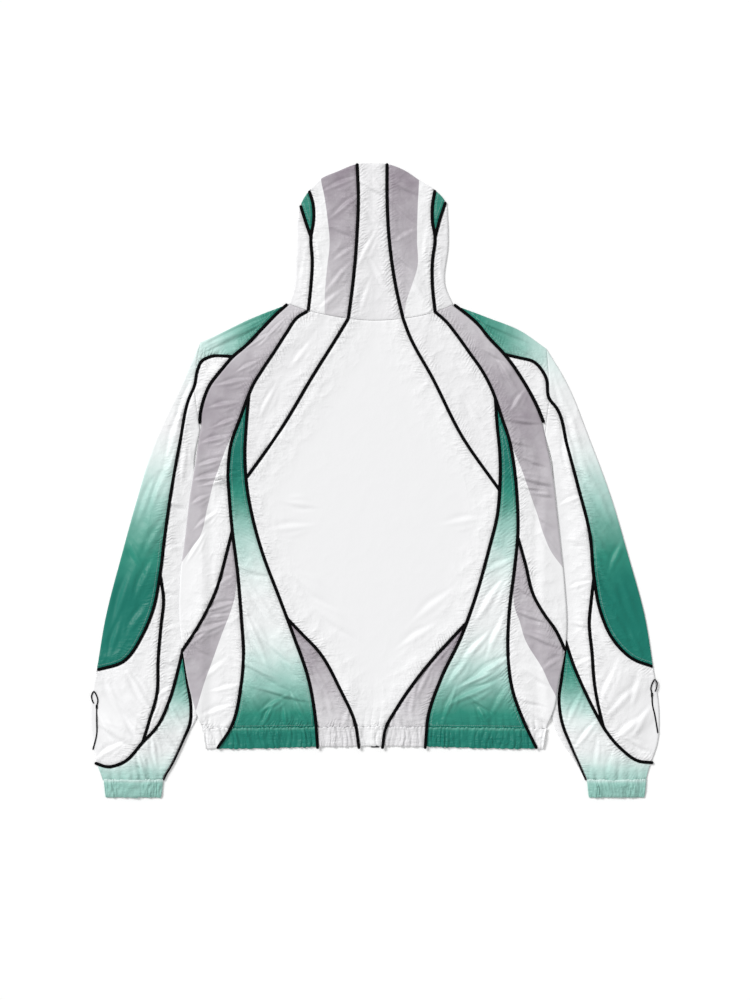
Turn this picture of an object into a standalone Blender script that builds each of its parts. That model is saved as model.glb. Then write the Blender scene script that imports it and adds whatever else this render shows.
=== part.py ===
"""Hooded track jacket of light nylon, laid flat with its back up and its sleeves beside it.

The cloth lies in layers. The lower layer (fronts, zip, undersides of the sleeves and of the hood) rests flat
on the ground. The upper layer (back, shoulders, sleeve tops, hood) lies on it. From the underarm to the
hip the body lies over the edge of each sleeve. Black piping fills the seams between the upper panels.

Sizes are in millimetres until a mesh is made. X runs across the jacket, Y from the hem up to the hood and
Z up. Every panel is cut flat between its seam lines, made as thick as the cloth, and then laid over
what is under it by one height function.
"""

import math

import bmesh
import bpy
import numpy as np
from mathutils import Vector, geometry

for old in list(bpy.data.objects):
    bpy.data.objects.remove(old, do_unlink=True)

MM = 0.001

# The cloth, its seams and its trim.
WALL = 1.2  # cloth with its seam allowances
GAP = 0.3  # between neighbouring pieces
PIPING_WIDTH = 4.2
PIPING_PROUD = 0.9  # how far the piping stands above the panels
PIPING_BUTT = 0.9  # taken off each of two pipings that meet end to end at the neck seam
PIPING_SLOPE = 0.9  # how far each side leans in from its foot to its top
PIPING_TIP = 0.5  # width left where a branch runs out beside another piping
BRANCH_LIFT = 0.1  # keeps a branch's faces out of the plane of the piping that it joins
SEAM_PITCH = 18.0  # distance between the stations of a seam line
GRID_PITCH = 32.0  # distance between the inner points of an upper panel
LOWER_PITCH = 55.0  # and of a panel in the lower layer

# How the layers lie on each other.
UPPER = WALL + GAP  # underside of the upper layer where it rests on the lower one
LOFT = 3.3  # extra height of the upper layer away from the jacket's edges
LOFT_REACH = 55.0
SLEEVE_STACK = 2 * (WALL + GAP) + 0.3  # the body rises this much over the edge of a sleeve
STACK_SHOULDER = 3.0  # the rise is whole this far before the sleeve's hidden edge
STACK_RAMP = 18.0
STACK_TOP = 470.0  # and it ends this high, below the armpit
STACK_FOOT_RAMP, STACK_TOP_RAMP = 13.0, 42.0
FOLD_REACH = 30.0  # folds are whole this far from the jacket's edges
BESIDE_BODY = 5.0  # a sleeve stays pressed flat this far out from the body's edge
PRESSED_FROM = 255.0  # and only beyond this distance from the centre line
PRESSED_SPAN = 20.0, 425.0  # and between these heights above the hem
SLEEVE_LEAVES = 44.0  # below this height the sleeve comes out from under the body

# Whole sizes. The jacket is centred on its box by the two middle values.
HEM_HEIGHT = 31.0
HEM_GATHERS = 56
HEM_RIPPLE = 1.5
HEM_CLIMB, HEM_CLIMB_RAMP = 9.0, 7.0  # piping starts to climb on to the casing this far above it
CUFF_TOP, CUFF_END = -48.0, -74.0
CUFF_GATHERS = 11
CUFF_RIPPLE = 1.6
CUFF_SPAN = 317.5, 407.0  # from the centre line to its inner and its outer edge
CUFF_HEIGHT = 3.4
ZIP_HALF = 6.0
ZIP_LINE = 1.8
PULL_LOOP = ((-1.6, 7), (0.2, 14.5), (4.6, 21), (7.6, 16), (6.6, 7), (4.2, 2.6))
FACE_OPENING = 40.0, 812.0  # half width, and height of its top above the hem
MIDDLE_X, MIDDLE_Y = -0.32, 401.55

WHITE = (0.86, 0.87, 0.87)
GREEN = (0.02, 0.34, 0.25)
MINT = (0.50, 0.78, 0.70)
LAVENDER = (0.55, 0.51, 0.56)
BLACK = (0.01, 0.01, 0.012)

# Seam lines as they lie, one row for each point that a line runs through.
# Columns: distance from the centre and height above the hem on the left, then the same on the right.
SEAMS = {
    "hood_crown": (
        (27, 877, 18, 877),
        (25, 828, 18, 828),
        (27, 770, 20, 777),
        (31, 717, 25, 729),
        (36, 674, 32, 687),
        (40, 644, 42, 644),
    ),
    "hood_side": (
        (99, 836, 90, 837),
        (93, 816, 86, 812),
        (92, 792, 86, 790),
        (96, 766, 90, 766),
        (94, 729, 86, 729),
        (96, 694, 86, 694),
        (100, 656, 90, 654),
    ),
    "hood_gusset": (
        (112, 814, 106, 819),
        (104, 789, 97, 792),
        (96, 766, 90, 766),
    ),
    "hood_edge": (
        (129, 666, 117, 665),
        (122, 690, 106, 690),
        (118, 742, 110, 759),
        (116, 794, 109, 794),
        (112, 814, 106, 819),
        (99, 836, 90, 837),
        (81, 854, 66, 852),
        (56, 865, 47, 865),
        (27, 876, 18, 876),
        (0, 877, 0, 877),
    ),
    "neck": (
        (129, 666, 117, 665),
        (100, 656, 90, 654),
        (75, 650, 68, 648),
        (40, 644, 42, 644),
        (0, 641, 0, 641),
    ),
    "yoke": (
        (130, 667, 117, 666),
        (147, 652, 132, 655),
        (172, 626, 152, 638),
        (194, 603, 171, 615),
        (213, 587, 196, 588),
        (231, 566, 216, 560),
        (249, 542, 234, 530),
        (257, 522, 247, 503),
        (262, 501, 254, 483),
        (263, 477, 255, 471),
    ),
    "body_edge": (
        (263, 477, 255, 471),
        (269, 430, 265, 417),
        (278, 375, 273, 350),
        (285, 315, 278, 304),
        (291, 267, 284, 244),
        (291, 168, 287, 174),
        (287, 141, 284, 144),
        (279, 94, 274, 92),
        (268, 54, 269, 62),
        (258, 27, 256, 27),
        (254, 0, 252, 0),
    ),
    "back_main": (
        (101, 655, 90, 654),
        (116, 646, 106, 640),
        (133, 622, 122, 620),
        (151, 594, 142, 592),
        (169, 567, 159, 568),
        (183, 544, 174, 540),
        (189, 530, 180, 525),
    ),
    "flank_outer": (
        (189, 530, 180, 525),
        (202, 495, 190, 495),
        (215, 459, 201, 462),
        (220, 420, 208, 424),
        (218, 372, 213, 372),
        (214, 327, 214, 324),
        (206, 264, 209, 270),
        (200, 192, 201, 204),
        (197, 140, 199, 146),
        (201, 92, 204, 96),
        (215, 33, 226, 33),
        (236, 0, 242, 0),
    ),
    "flank_inner": (
        (189, 530, 180, 525),
        (193, 483, 183, 483),
        (195, 440, 187, 440),
        (192, 392, 187, 392),
        (184, 348, 183, 348),
        (172, 303, 172, 303),
        (142, 222, 149, 222),
        (121, 166, 128, 165),
        (100, 105, 99, 105),
        (90, 50, 80, 50),
        (86, 0, 75, 0),
    ),
    "back_diagonal": (
        (40, 644, 42, 644),
        (52, 624, 50, 622),
        (95, 555, 87, 553),
        (141, 478, 130, 468),
        (192, 406, 187, 386),
    ),
    "back_wedge": (
        (130, 193, 135, 186),
        (110, 172, 109, 158),
        (85, 146, 82, 128),
        (52, 88, 32, 59),
        (30, 38, 16, 30),
        (24, 0, 11, 0),
    ),
    "side_wrap": (
        (214, 326, 214, 316),
        (224, 286, 225, 277),
        (238, 237, 238, 228),
        (254, 202, 254, 200),
        (269, 176, 270, 178),
        (289, 146, 285, 147),
    ),
    "yoke_lower": (
        (213, 587, 194, 590),
        (249, 586, 216, 585),
        (260, 580, 238, 579),
        (266, 567, 256, 556),
        (271, 542, 261, 524),
    ),
    "sleeve_upper": (
        (271, 542, 261, 524),
        (278, 526, 272, 510),
        (292, 460, 288, 453),
        (304, 393, 304, 393),
        (316, 310, 322, 320),
        (322, 261, 328, 256),
        (333, 206, 338, 204),
        (347, 172, 356, 164),
        (377, 130, 386, 134),
        (417, 117, 417, 122),
    ),
    "armhole_top": (
        (262, 608, 257, 599),
        (268, 574, 260, 561),
        (271, 542, 261, 524),
    ),
    "armhole_foot": (
        (271, 542, 261, 524),
        (268, 514, 258, 500),
        (263, 477, 255, 471),
    ),
    "forearm": (
        (322, 261, 328, 256),
        (317, 222, 324, 222),
        (321, 182, 321, 189),
        (325, 132, 325, 144),
        (327, 80, 329, 94),
        (338, 41, 336, 56),
        (348, 9, 342, 32),
    ),
    "sleeve_lower": (
        (288, 148, 286, 160),
        (296, 114, 297, 126),
        (308, 72, 315, 84),
        (326, 33, 332, 50),
        (348, 9, 342, 32),
        (377, -21, 370, -2),
        (400, -28, 394, -19),
        (421, -22, 418, -22),
    ),
    "sleeve_inner": (
        (288, 148, 286, 160),
        (281, 96, 280, 106),
        (276, 62, 276, 75),
        (277, 39, 280, 40),
        (286, 15, 294, 3),
        (304, -24, 312, -38),
        (317, -48, 318, -53),
        (319, -74, 319, -74),
    ),
    "shoulder": (
        (130, 666, 117, 665),
        (191, 642, 171, 645),
        (236, 620, 216, 627),
        (262, 608, 257, 599),
    ),
    "sleeve_edge": (
        (262, 608, 257, 599),
        (282, 563, 286, 550),
        (329, 462, 322, 462),
        (359, 366, 354, 376),
        (380, 290, 379, 292),
        (405, 192, 406, 192),
        (417, 120, 417, 122),
        (426, 69, 426, 50),
        (424, 12, 424, 10),
        (416, -27, 412, -27),
        (409, -46, 407, -46),
        (406, -74, 406, -74),
    ),
    "underarm": (
        (263, 477, 255, 471),
        (271, 430, 267, 417),
        (267, 385, 262, 375),
        (264, 300, 258, 290),
        (264, 150, 258, 150),
        (265, 80, 262, 80),
        (268, 44, 266, 45),
        (275, 31, 270, 30),
        (283.8, 14.2, 284, 3),
        (293, -6, 295, -13),
        (302.1, -24.9, 310.1, -38.8),
        (315, -48.6, 316, -53.6),
        (316.9, -74, 316.9, -74),
    ),
    "sleeve_zip": (
        (417, 64, 415, 82),
        (417, 42, 416, 64),
        (417, 22, 419, 51),
        (423, -3, 424, 22),
    ),
}
ACROSS = {
    "hood_top": ((-56, 865), (-27, 876), (0, 877), (18, 876), (47, 865)),
    "hem_top": ((-270, 29), (-120, 31), (0, 32), (120, 31), (270, 29)),
    "hem_end": ((-290, 0), (-180, 0), (-90, 2.5), (0, 4), (90, 2.5), (180, 0), (290, 0)),
}

# The largest folds of the upper layer.
# Columns: middle X and Y, turn in degrees from X, length, width and height (a trough is negative).
FOLDS = (
    (-228, 440, 22, 80, 26, 2.6),
    (-236, 398, 38, 74, 24, 2.2),
    (226, 452, 158, 70, 26, 2.4),
    (238, 404, 146, 76, 24, 2.2),
    (-338, 330, 62, 120, 30, 3.0),
    (-366, 250, 70, 100, 26, 2.4),
    (352, 338, 116, 124, 30, 3.0),
    (376, 246, 108, 100, 26, 2.4),
    (-352, 70, 128, 110, 30, 2.8),
    (-388, 30, 140, 80, 26, 2.2),
    (354, 74, 54, 110, 30, 2.8),
    (388, 34, 44, 80, 26, 2.2),
    (-180, 96, 96, 90, 26, 2.2),
    (170, 92, 86, 90, 26, 2.2),
    (-40, 78, 92, 80, 28, 1.8),
    (58, 84, 90, 80, 28, 1.8),
    (-232, 560, 152, 70, 22, 1.8),
    (206, 570, 30, 66, 22, 1.8),
    (-62, 704, 74, 84, 24, 2.0),
    (60, 700, 106, 84, 24, 2.0),
)
FOLD_POINT_PITCH = 26.0


# Lines in the plane.


def smooth_line(points, pitch=SEAM_PITCH):
    """A curve through the points, each span a cubic whose end slopes follow the neighbouring points,
    read at even steps along its length."""
    points = np.array(points, float)
    at = np.concatenate([[0], np.cumsum(np.hypot(*np.diff(points, axis=0).T))])
    slope = np.gradient(points, at, axis=0)
    fine = np.linspace(0, at[-1], int(at[-1]) + 2)
    span = np.clip(np.searchsorted(at, fine, side="right") - 1, 0, len(points) - 2)
    width = (at[span + 1] - at[span])[:, None]
    t = (fine[:, None] - at[span][:, None]) / width
    curve = (
        (2 * t**3 - 3 * t**2 + 1) * points[span]
        + (t**3 - 2 * t**2 + t) * width * slope[span]
        + (3 * t**2 - 2 * t**3) * points[span + 1]
        + (t**3 - t**2) * width * slope[span + 1]
    )
    return even_steps(curve, pitch)


def even_steps(curve, pitch):
    along = np.concatenate([[0], np.cumsum(np.hypot(*np.diff(curve, axis=0).T))])
    steps = np.linspace(0, along[-1], max(2, round(along[-1] / pitch) + 1))
    return np.stack([np.interp(steps, along, curve[:, k]) for k in (0, 1)], axis=1)


def line(side, *names):
    """Seam lines of one side joined end to end, with X negative on the left (side -1)."""
    rows = []
    for name in names:
        column = 0 if side < 0 else 2
        found = [(side * row[column], row[column + 1]) for row in SEAMS[name]]
        rows += found if not rows else found[1:]
    return smooth_line(rows)


def across(name):
    return smooth_line(ACROSS[name])


def across_from_sides(name):
    """A line from its left half, read inwards, and its right half, read outwards."""
    left = [(-row[0], row[1]) for row in SEAMS[name]]
    right = [(row[2], row[3]) for row in reversed(SEAMS[name][:-1])]
    return smooth_line(left + right)


def normals(curve):
    """Mitred left-hand normals of a line: moving each point along its own gives a parallel line."""
    along = np.diff(curve, axis=0)
    along /= np.hypot(*along.T)[:, None]
    left = np.stack([-along[:, 1], along[:, 0]], axis=1)
    first, last = np.vstack([left[:1], left]), np.vstack([left, left[-1:]])
    middle = first + last
    return middle / np.maximum((middle * first).sum(axis=1), 0.5)[:, None]


def moved(curve, distance):
    """A parallel line. The distance is one number or one for each point."""
    return curve + normals(curve) * np.broadcast_to(distance, len(curve))[:, None]


def lengthened(curve, by=60.0):
    start, end = curve[0] - curve[1], curve[-1] - curve[-2]
    start, end = start / np.hypot(*start) * by, end / np.hypot(*end) * by
    return np.vstack([curve[0] + start, curve, curve[-1] + end])


def distance_to(points, curve):
    """Distance from each point to the nearest place on a line."""
    best = np.full(len(points), np.inf)
    for a, b in zip(curve[:-1], curve[1:]):
        run = b - a
        t = np.clip(((points - a) @ run) / (run @ run), 0, 1)
        best = np.minimum(best, np.hypot(*(points - a - t[:, None] * run).T))
    return best


def crossings(first, second):
    """Places where two lines cross, each as (position along the first, along the second, point)."""
    found = []
    for i, (a, b) in enumerate(zip(first[:-1], first[1:])):
        for j, (c, d) in enumerate(zip(second[:-1], second[1:])):
            run, other = b - a, d - c
            turn = run[0] * other[1] - run[1] * other[0]
            if abs(turn) < 1e-9:
                continue
            s = ((c - a)[0] * other[1] - (c - a)[1] * other[0]) / turn
            t = ((c - a)[0] * run[1] - (c - a)[1] * run[0]) / turn
            if 0 <= s <= 1 and 0 <= t <= 1:
                found.append((i + s, j + t, a + s * run))
    return found


def junction(first, second):
    """Where two seam lines meet, or come nearest to each other."""
    spread = np.hypot(*(first[:, None] - second[None]).transpose(2, 0, 1))
    i, j = np.unravel_index(spread.argmin(), spread.shape)
    near = (first[i] + second[j]) / 2
    met = crossings(first, second)
    if met:
        return min(met, key=lambda one: np.hypot(*(one[2] - near)))[2]
    return near


def signed_area(polygon):
    x, y = np.array(polygon).T
    return 0.5 * float((x * np.roll(y, -1) - y * np.roll(x, -1)).sum())


def panel_outline(sides):
    """The outline of a panel from its sides in order, each (line, distance that the cloth keeps from it).
    A corner is where two neighbouring sides cross after they have moved inwards."""
    count = len(sides)
    corners = [junction(sides[i - 1][0], sides[i][0]) for i in range(count)]
    inward = 1.0 if signed_area(corners) > 0 else -1.0
    edges = []
    for i, (seam, keep) in enumerate(sides):
        start = np.hypot(*(seam - corners[i]).T).argmin()
        end = np.hypot(*(seam - corners[(i + 1) % count]).T).argmin()
        turn = slice(None) if start <= end else slice(None, None, -1)
        kept = np.broadcast_to(keep, len(seam))[turn]
        edges.append(lengthened(moved(seam[turn], inward * kept)))
    met = []
    for i in range(count):
        options = crossings(edges[i - 1], edges[i])
        met.append(min(options, key=lambda one: np.hypot(*(one[2] - corners[i]))))
    outline = []
    for i in range(count):
        _, begin, corner = met[i]
        finish, _, following = met[(i + 1) % count]
        outline.append(corner)
        for index in range(math.ceil(begin + 1e-6), math.floor(finish - 1e-6) + 1):
            point = edges[i][index]
            if min(np.hypot(*(point - corner)), np.hypot(*(point - following))) > 1.2:
                outline.append(point)
    return np.array(outline)


def inside(points, polygon):
    """Whether each point is within the polygon: a ray to the right crosses it an odd number of times."""
    x, y = points.T
    odd = np.zeros(len(points), bool)
    for (x0, y0), (x1, y1) in zip(polygon, np.roll(polygon, -1, axis=0)):
        if y0 == y1:
            continue
        spans = (y0 > y) != (y1 > y)
        odd ^= spans & (x < x0 + (y - y0) * (x1 - x0) / (y1 - y0))
    return odd


# How the cloth lies.


def soft_step(t):
    t = np.clip(t, 0, 1)
    return t * t * (3 - 2 * t)


EDGES = [across_from_sides("hood_edge"), across("hem_end")]
for side in (-1, 1):
    EDGES += [line(side, name) for name in ("shoulder", "sleeve_edge", "body_edge")]
UNDERARM = {side: line(side, "underarm") for side in (-1, 1)}
EDGES += [curve[curve[:, 1] < SLEEVE_LEAVES] for curve in UNDERARM.values()]
BODY_EDGE = {side: line(side, "body_edge") for side in (-1, 1)}


def reach_at(lines, points):
    """Distance from the centre line of each side's line at the height of each point."""
    found = np.zeros(len(points))
    for side, curve in lines.items():
        order = np.argsort(curve[:, 1])
        across_x = np.interp(points[:, 1], curve[order, 1], np.abs(curve[order, 0]))
        found = np.where(np.sign(points[:, 0]) == side, across_x, found)
    return found


def over_sleeve(points):
    """Rise of the body over the hidden edge of a sleeve, from the underarm down to the hip."""
    outwards = np.abs(points[:, 0]) - reach_at(UNDERARM, points) + STACK_SHOULDER
    beside = soft_step(1 + outwards / STACK_RAMP)
    from_foot = soft_step((points[:, 1] - HEM_HEIGHT) / STACK_FOOT_RAMP)
    from_top = soft_step((STACK_TOP - points[:, 1]) / STACK_TOP_RAMP)
    return SLEEVE_STACK * beside * from_foot * from_top


def folds(points):
    total = np.zeros(len(points))
    for x, y, turn, length, width, height in FOLDS:
        c, s = math.cos(math.radians(turn)), math.sin(math.radians(turn))
        along = (points[:, 0] - x) * c + (points[:, 1] - y) * s
        away = (points[:, 1] - y) * c - (points[:, 0] - x) * s
        total += height * np.exp(-((2.2 * along / length) ** 2) - (2.0 * away / width) ** 2)
    return total


def loft(points):
    """Height that the upper layer gains away from the jacket's edges, with its folds."""
    free = np.min([distance_to(points, edge) for edge in EDGES], axis=0)
    return soft_step(free / LOFT_REACH) * LOFT + soft_step(free / FOLD_REACH) * folds(points)


def body_upper(points):
    return UPPER + loft(points) + over_sleeve(points)


def body_lower(points):
    return over_sleeve(points)


def covered(points):
    """Whether a point of a sleeve has the body lying over it, or close beside it."""
    x, y = np.abs(points[:, 0]), points[:, 1]
    within = x < reach_at(BODY_EDGE, points) + BESIDE_BODY + 1
    low, high = PRESSED_SPAN
    return within & (x > PRESSED_FROM) & (y > low) & (y < high)


def sleeve_top(points):
    """A sleeve is pressed flat where the body lies over it."""
    return UPPER + np.where(covered(points), 0.0, loft(points))


def flat_lower(points):
    return np.zeros(len(points))


# Meshes.


def collection(name, hidden=False):
    made = bpy.data.collections.new(name)
    bpy.context.scene.collection.children.link(made)
    made.hide_render = hidden
    return made


def finish_of(name, colour, roughness):
    material = bpy.data.materials.new(name)
    material.use_nodes = True
    shader = material.node_tree.nodes["Principled BSDF"]
    shader.inputs["Base Color"].default_value = (*colour, 1)
    shader.inputs["Roughness"].default_value = roughness
    shader.inputs["Metallic"].default_value = 0
    return material


def piece(name, points, faces, colour, roughness=0.4):
    """A named object from points in millimetres, set on the middle of the jacket's box."""
    mesh = bpy.data.meshes.new(name)
    mesh.from_pydata([tuple(float(v) * MM for v in point) for point in points], [], faces)
    shell = bmesh.new()
    shell.from_mesh(mesh)
    bmesh.ops.recalc_face_normals(shell, faces=shell.faces)
    shell.to_mesh(mesh)
    shell.free()
    mesh.materials.append(finish_of(name, colour, roughness))
    made = bpy.data.objects.new(name, mesh)
    made.parent = PLACE
    JACKET.objects.link(made)
    return made


ROW_STEP = 0.87  # of the pitch, so that staggered points make nearly even triangles
EDGE_CLEAR = 0.45  # of the pitch, between inner points and the outline
MARK_CLEAR = 3.5  # and between the outline and the points along folds and rises
APART = 1.3  # times the clearance, between inner points
FOLD_FLANKS = 0.75  # of a fold's width, where it has points on either side
WITHIN_OUTLINE = 1  # the triangulation keeps what is within the outline
CUT_TOLERANCE = 1e-4


def inner_points(polygon, pitch):
    """Staggered rows of points inside an outline, with points along each fold that crosses it."""
    low, high = polygon.min(axis=0), polygon.max(axis=0)
    rows = []
    for k, y in enumerate(np.arange(low[1] + pitch / 2, high[1], pitch * ROW_STEP)):
        shift = pitch / 2 if k % 2 else 0
        rows += [(x, y) for x in np.arange(low[0] + shift, high[0], pitch)]
    marks = []
    if pitch < LOWER_PITCH:
        for x, y, turn, length, width, _ in FOLDS:
            c, s = math.cos(math.radians(turn)), math.sin(math.radians(turn))
            steps = np.arange(-length / 2, length / 2 + 1, FOLD_POINT_PITCH)
            for away in (-width * FOLD_FLANKS, 0, width * FOLD_FLANKS):
                marks += [(x + c * t - s * away, y + s * t + c * away) for t in steps]
    for side, curve in UNDERARM.items():
        for back in (STACK_SHOULDER, STACK_SHOULDER + STACK_RAMP):
            marks += [(x - side * back, y) for x, y in curve if y > SLEEVE_LEAVES]
        marks += [(x + side * BESIDE_BODY, y) for x, y in BODY_EDGE[side][1:-2:2]]
        marks += [tuple(point) for point in sleeve_zip_path(side)[::2]]
    ring = np.vstack([polygon, polygon[:1]])
    kept = np.zeros((0, 2))
    for group, clear in ((marks, MARK_CLEAR), (rows, pitch * EDGE_CLEAR)):
        for point in np.array(group).reshape(-1, 2):
            alone = len(kept) == 0 or np.hypot(*(kept - point).T).min() > clear * APART
            one = point[None]
            if alone and inside(one, polygon)[0] and distance_to(one, ring)[0] > clear:
                kept = np.vstack([kept, point])
    return kept


def panel(name, sides, height, colour, pitch=GRID_PITCH):
    """A panel of cloth: its flat cut, filled with triangles, thickened, and laid by the height function."""
    outline = panel_outline(sides)
    inner = inner_points(outline, pitch)
    edges = [(i, (i + 1) % len(outline)) for i in range(len(outline))]
    flat = [Vector(point) for point in np.vstack([outline, inner])]
    cut = geometry.delaunay_2d_cdt(flat, edges, [], WITHIN_OUTLINE, CUT_TOLERANCE)
    plan = np.array([tuple(point) for point in cut[0]])
    faces = [tuple(face) for face in cut[2]]
    under = height(plan)
    count = len(plan)
    edge_use = {}
    for face in faces:
        for a, b in zip(face, face[1:] + face[:1]):
            edge_use[frozenset((a, b))] = None if frozenset((a, b)) in edge_use else (a, b)
    rim = [(b, a, a + count, b + count) for a, b in filter(None, edge_use.values())]
    points = np.vstack([np.column_stack([plan, under]), np.column_stack([plan, under + WALL])])
    solid = [face[::-1] for face in faces] + [tuple(v + count for v in face) for face in faces]
    return piece(name, points, solid + rim, colour)


def shortened(curve, start=0.0, end=0.0):
    """A line without its first and last few millimetres, which keeps its other stations."""
    along = np.concatenate([[0], np.cumsum(np.hypot(*np.diff(curve, axis=0).T))])
    first, last = start, along[-1] - end
    steps = [first, *along[(along > first + 1) & (along < last - 1)], last]
    return np.stack([np.interp(steps, along, curve[:, k]) for k in (0, 1)], axis=1)


def closer_stations(curve, other):
    """A line with more stations, on its own straight runs, where it comes near another line."""
    near = distance_to(curve, other) < 0.6 * SEAM_PITCH
    points = [curve[:1]]
    for i in range(len(curve) - 1):
        share = np.linspace(0, 1, 5 if near[i] or near[i + 1] else 2)[1:, None]
        points.append(curve[i] * (1 - share) + curve[i + 1] * share)
    return np.vstack(points)


def piping(name, curve, height, beside=(), lift=0.0):
    """A low cord of cloth along a seam, flat below and narrower on top. Beside another piping its near
    side is pared back, so the two run together without touching."""
    half = PIPING_WIDTH / 2
    for other in beside:
        curve = closer_stations(curve, other)
    left, right = np.full(len(curve), half), np.full(len(curve), half)
    outward = normals(curve)
    for other in beside:
        room = distance_to(curve, other) - PIPED
        left[room < PIPING_TIP - half] = -half
        for side, reach in ((1, left), (-1, right)):
            nearer = distance_to(curve + side * outward, other) < distance_to(curve, other)
            reach[nearer] = np.minimum(reach, room)[nearer]
    whole = np.flatnonzero(left + right > PIPING_TIP)
    kept = slice(whole[0], whole[-1] + 1)
    base = height(curve) + lift
    top = base + WALL + PIPING_PROUD * ~covered(curve)
    rows = (part[kept] for part in (curve, outward, left, right, base, top))
    sections = []
    for at, out, to_left, to_right, low, high in zip(*rows):
        slope = min(PIPING_SLOPE, (to_left + to_right) / 4)
        sections.append(
            [
                (*(at - out * to_right), low),
                (*(at + out * to_left), low),
                (*(at + out * (to_left - slope)), high),
                (*(at - out * (to_right - slope)), high),
            ]
        )
    return piece(name, *tube_faces(sections), BLACK, 0.5)


def tube_faces(sections):
    """The points and faces of a closed tube through sections of equal count, capped at both ends."""
    size = len(sections[0])
    points = [point for section in sections for point in section]
    faces = [tuple(range(size))[::-1]]
    for row in range(len(sections) - 1):
        for k in range(size):
            a, b = row * size + k, row * size + (k + 1) % size
            faces.append((a, b, b + size, a + size))
    faces.append(tuple(range(len(points) - size, len(points))))
    return points, faces


def joined(main, branch):
    """Fuses a branch of piping into the one that it leaves."""
    union = main.modifiers.new("branch", "BOOLEAN")
    union.operation = "UNION"
    union.object = branch
    branch.hide_render = True
    branch.display_type = "WIRE"
    JACKET.objects.unlink(branch)
    BRANCHES.objects.link(branch)


# The pieces.

SLEEVE_SEAM_BARE = 28.0  # last stretch of the sleeve's inner seam, over the cuff, with no piping
PIPED = PIPING_WIDTH / 2 + GAP
PLAIN = GAP / 2
PIPING_FOOT = 486.0  # the yoke's piping ends this high, above the underarm
YOKE_PIPING_FADE = 20.0  # and the cloth closes the room for it over this height below


def hood(side, tag):
    crown, rib = (line(side, "hood_crown"), PIPED), (line(side, "hood_side"), PIPED)
    gusset = (line(side, "hood_gusset"), PIPED)
    edge, neck = (line(side, "hood_edge"), 0), (line(side, "neck"), PLAIN)
    panel(f"hood_side_{tag}", [neck, rib, edge, crown], body_upper, LAVENDER)
    panel(f"hood_gusset_{tag}", [gusset, edge, rib], body_upper, GREEN)
    panel(f"hood_outer_{tag}", [neck, edge, gusset, rib], body_upper, WHITE)


def body_side(side, tag):
    neck, yoke, edge = line(side, "neck"), line(side, "yoke", "body_edge"), line(side, "body_edge")
    outer = line(side, "back_main", "flank_outer")
    inner = line(side, "flank_inner")
    diagonal, wedge, wrap = (line(side, n) for n in ("back_diagonal", "back_wedge", "side_wrap"))
    lower, shoulder = line(side, "yoke_lower", "sleeve_upper"), line(side, "shoulder")
    hem = across("hem_top")
    sides = [(neck, PLAIN), (diagonal, PIPED), (inner, PIPED), (outer, PIPED)]
    panel(f"back_shoulder_{tag}", sides, body_upper, WHITE)
    piped_part = soft_step((yoke[:, 1] - PIPING_FOOT) / YOKE_PIPING_FADE + 1) * PIPED
    sides = [(neck, PLAIN), (outer, PIPED), (wrap, PIPED), (yoke, piped_part)]
    panel(f"back_side_{tag}", sides, body_upper, LAVENDER)
    panel(f"flank_{tag}", [(inner, PIPED), (outer, PIPED), (hem, PLAIN)], body_upper, GREEN)
    panel(f"back_wedge_{tag}", [(wedge, PIPED), (inner, PIPED), (hem, PLAIN)], body_upper, LAVENDER)
    sides = [(outer, PIPED), (wrap, PIPED), (edge, 0), (hem, PLAIN)]
    panel(f"flank_low_{tag}", sides, body_upper, WHITE)
    foot, top = line(side, "armhole_foot"), line(side, "armhole_top")
    sides = [(yoke, PIPED), (lower, PIPED), (top, PLAIN), (shoulder, 0)]
    panel(f"shoulder_yoke_{tag}", sides, body_upper, MINT)
    sides = [(lower, PIPED), (yoke, PIPED), (foot, PLAIN)]
    panel(f"shoulder_patch_{tag}", sides, body_upper, WHITE)


def body_middle():
    neck, hem = across_from_sides("neck"), across("hem_top")
    sides = [(neck, PLAIN)]
    for side in (1, -1):
        three = [(line(side, n), PIPED) for n in ("back_diagonal", "flank_inner", "back_wedge")]
        sides += three if side > 0 else [(hem, PLAIN)] + three[::-1]
    panel("back_centre", sides, body_upper, WHITE)
    crown = {side: line(side, "hood_crown") for side in (-1, 1)}
    top = across("hood_top")
    sides = [(neck, PLAIN), (crown[1], PIPED), (top, 0), (crown[-1], PIPED)]
    panel("hood_centre", sides, body_upper, WHITE)


def sleeve(side, tag):
    edge, under = line(side, "sleeve_edge"), line(side, "underarm")
    top, foot = line(side, "armhole_top"), line(side, "armhole_foot")
    upper, fore = line(side, "yoke_lower", "sleeve_upper"), line(side, "forearm")
    lower, inner = line(side, "sleeve_lower"), line(side, "sleeve_inner")
    cuff = np.array([(side * 460.0, CUFF_TOP), (side * 260.0, CUFF_TOP)])
    tip = lower[0] + (0, PIPED)
    blunt = np.array([tip - (side * 6, 0), tip + (side * 6, 0)])
    rim = (edge, 0)
    seams = ((seam, PIPED) for seam in (upper, fore, lower, inner))
    piped_upper, piped_fore, piped_lower, piped_inner = seams
    panel(f"sleeve_outer_{tag}", [(top, PLAIN), rim, piped_upper], sleeve_top, GREEN)
    panel(
        f"sleeve_inner_{tag}",
        [(foot, PLAIN), piped_upper, piped_fore, piped_lower, (blunt, 0), piped_inner, (under, 0)],
        sleeve_top,
        WHITE,
    )
    panel(f"sleeve_forearm_{tag}", [piped_upper, rim, piped_lower, piped_fore], sleeve_top, WHITE)
    panel(f"sleeve_wedge_{tag}", [piped_lower, rim, (cuff, PLAIN), piped_inner], sleeve_top, MINT)
    armhole = line(side, "armhole_top", "armhole_foot")
    sides = [(armhole, PLAIN), rim, (cuff, PLAIN), (under, 0)]
    panel(f"sleeve_under_{tag}", sides, flat_lower, WHITE, LOWER_PITCH)


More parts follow.
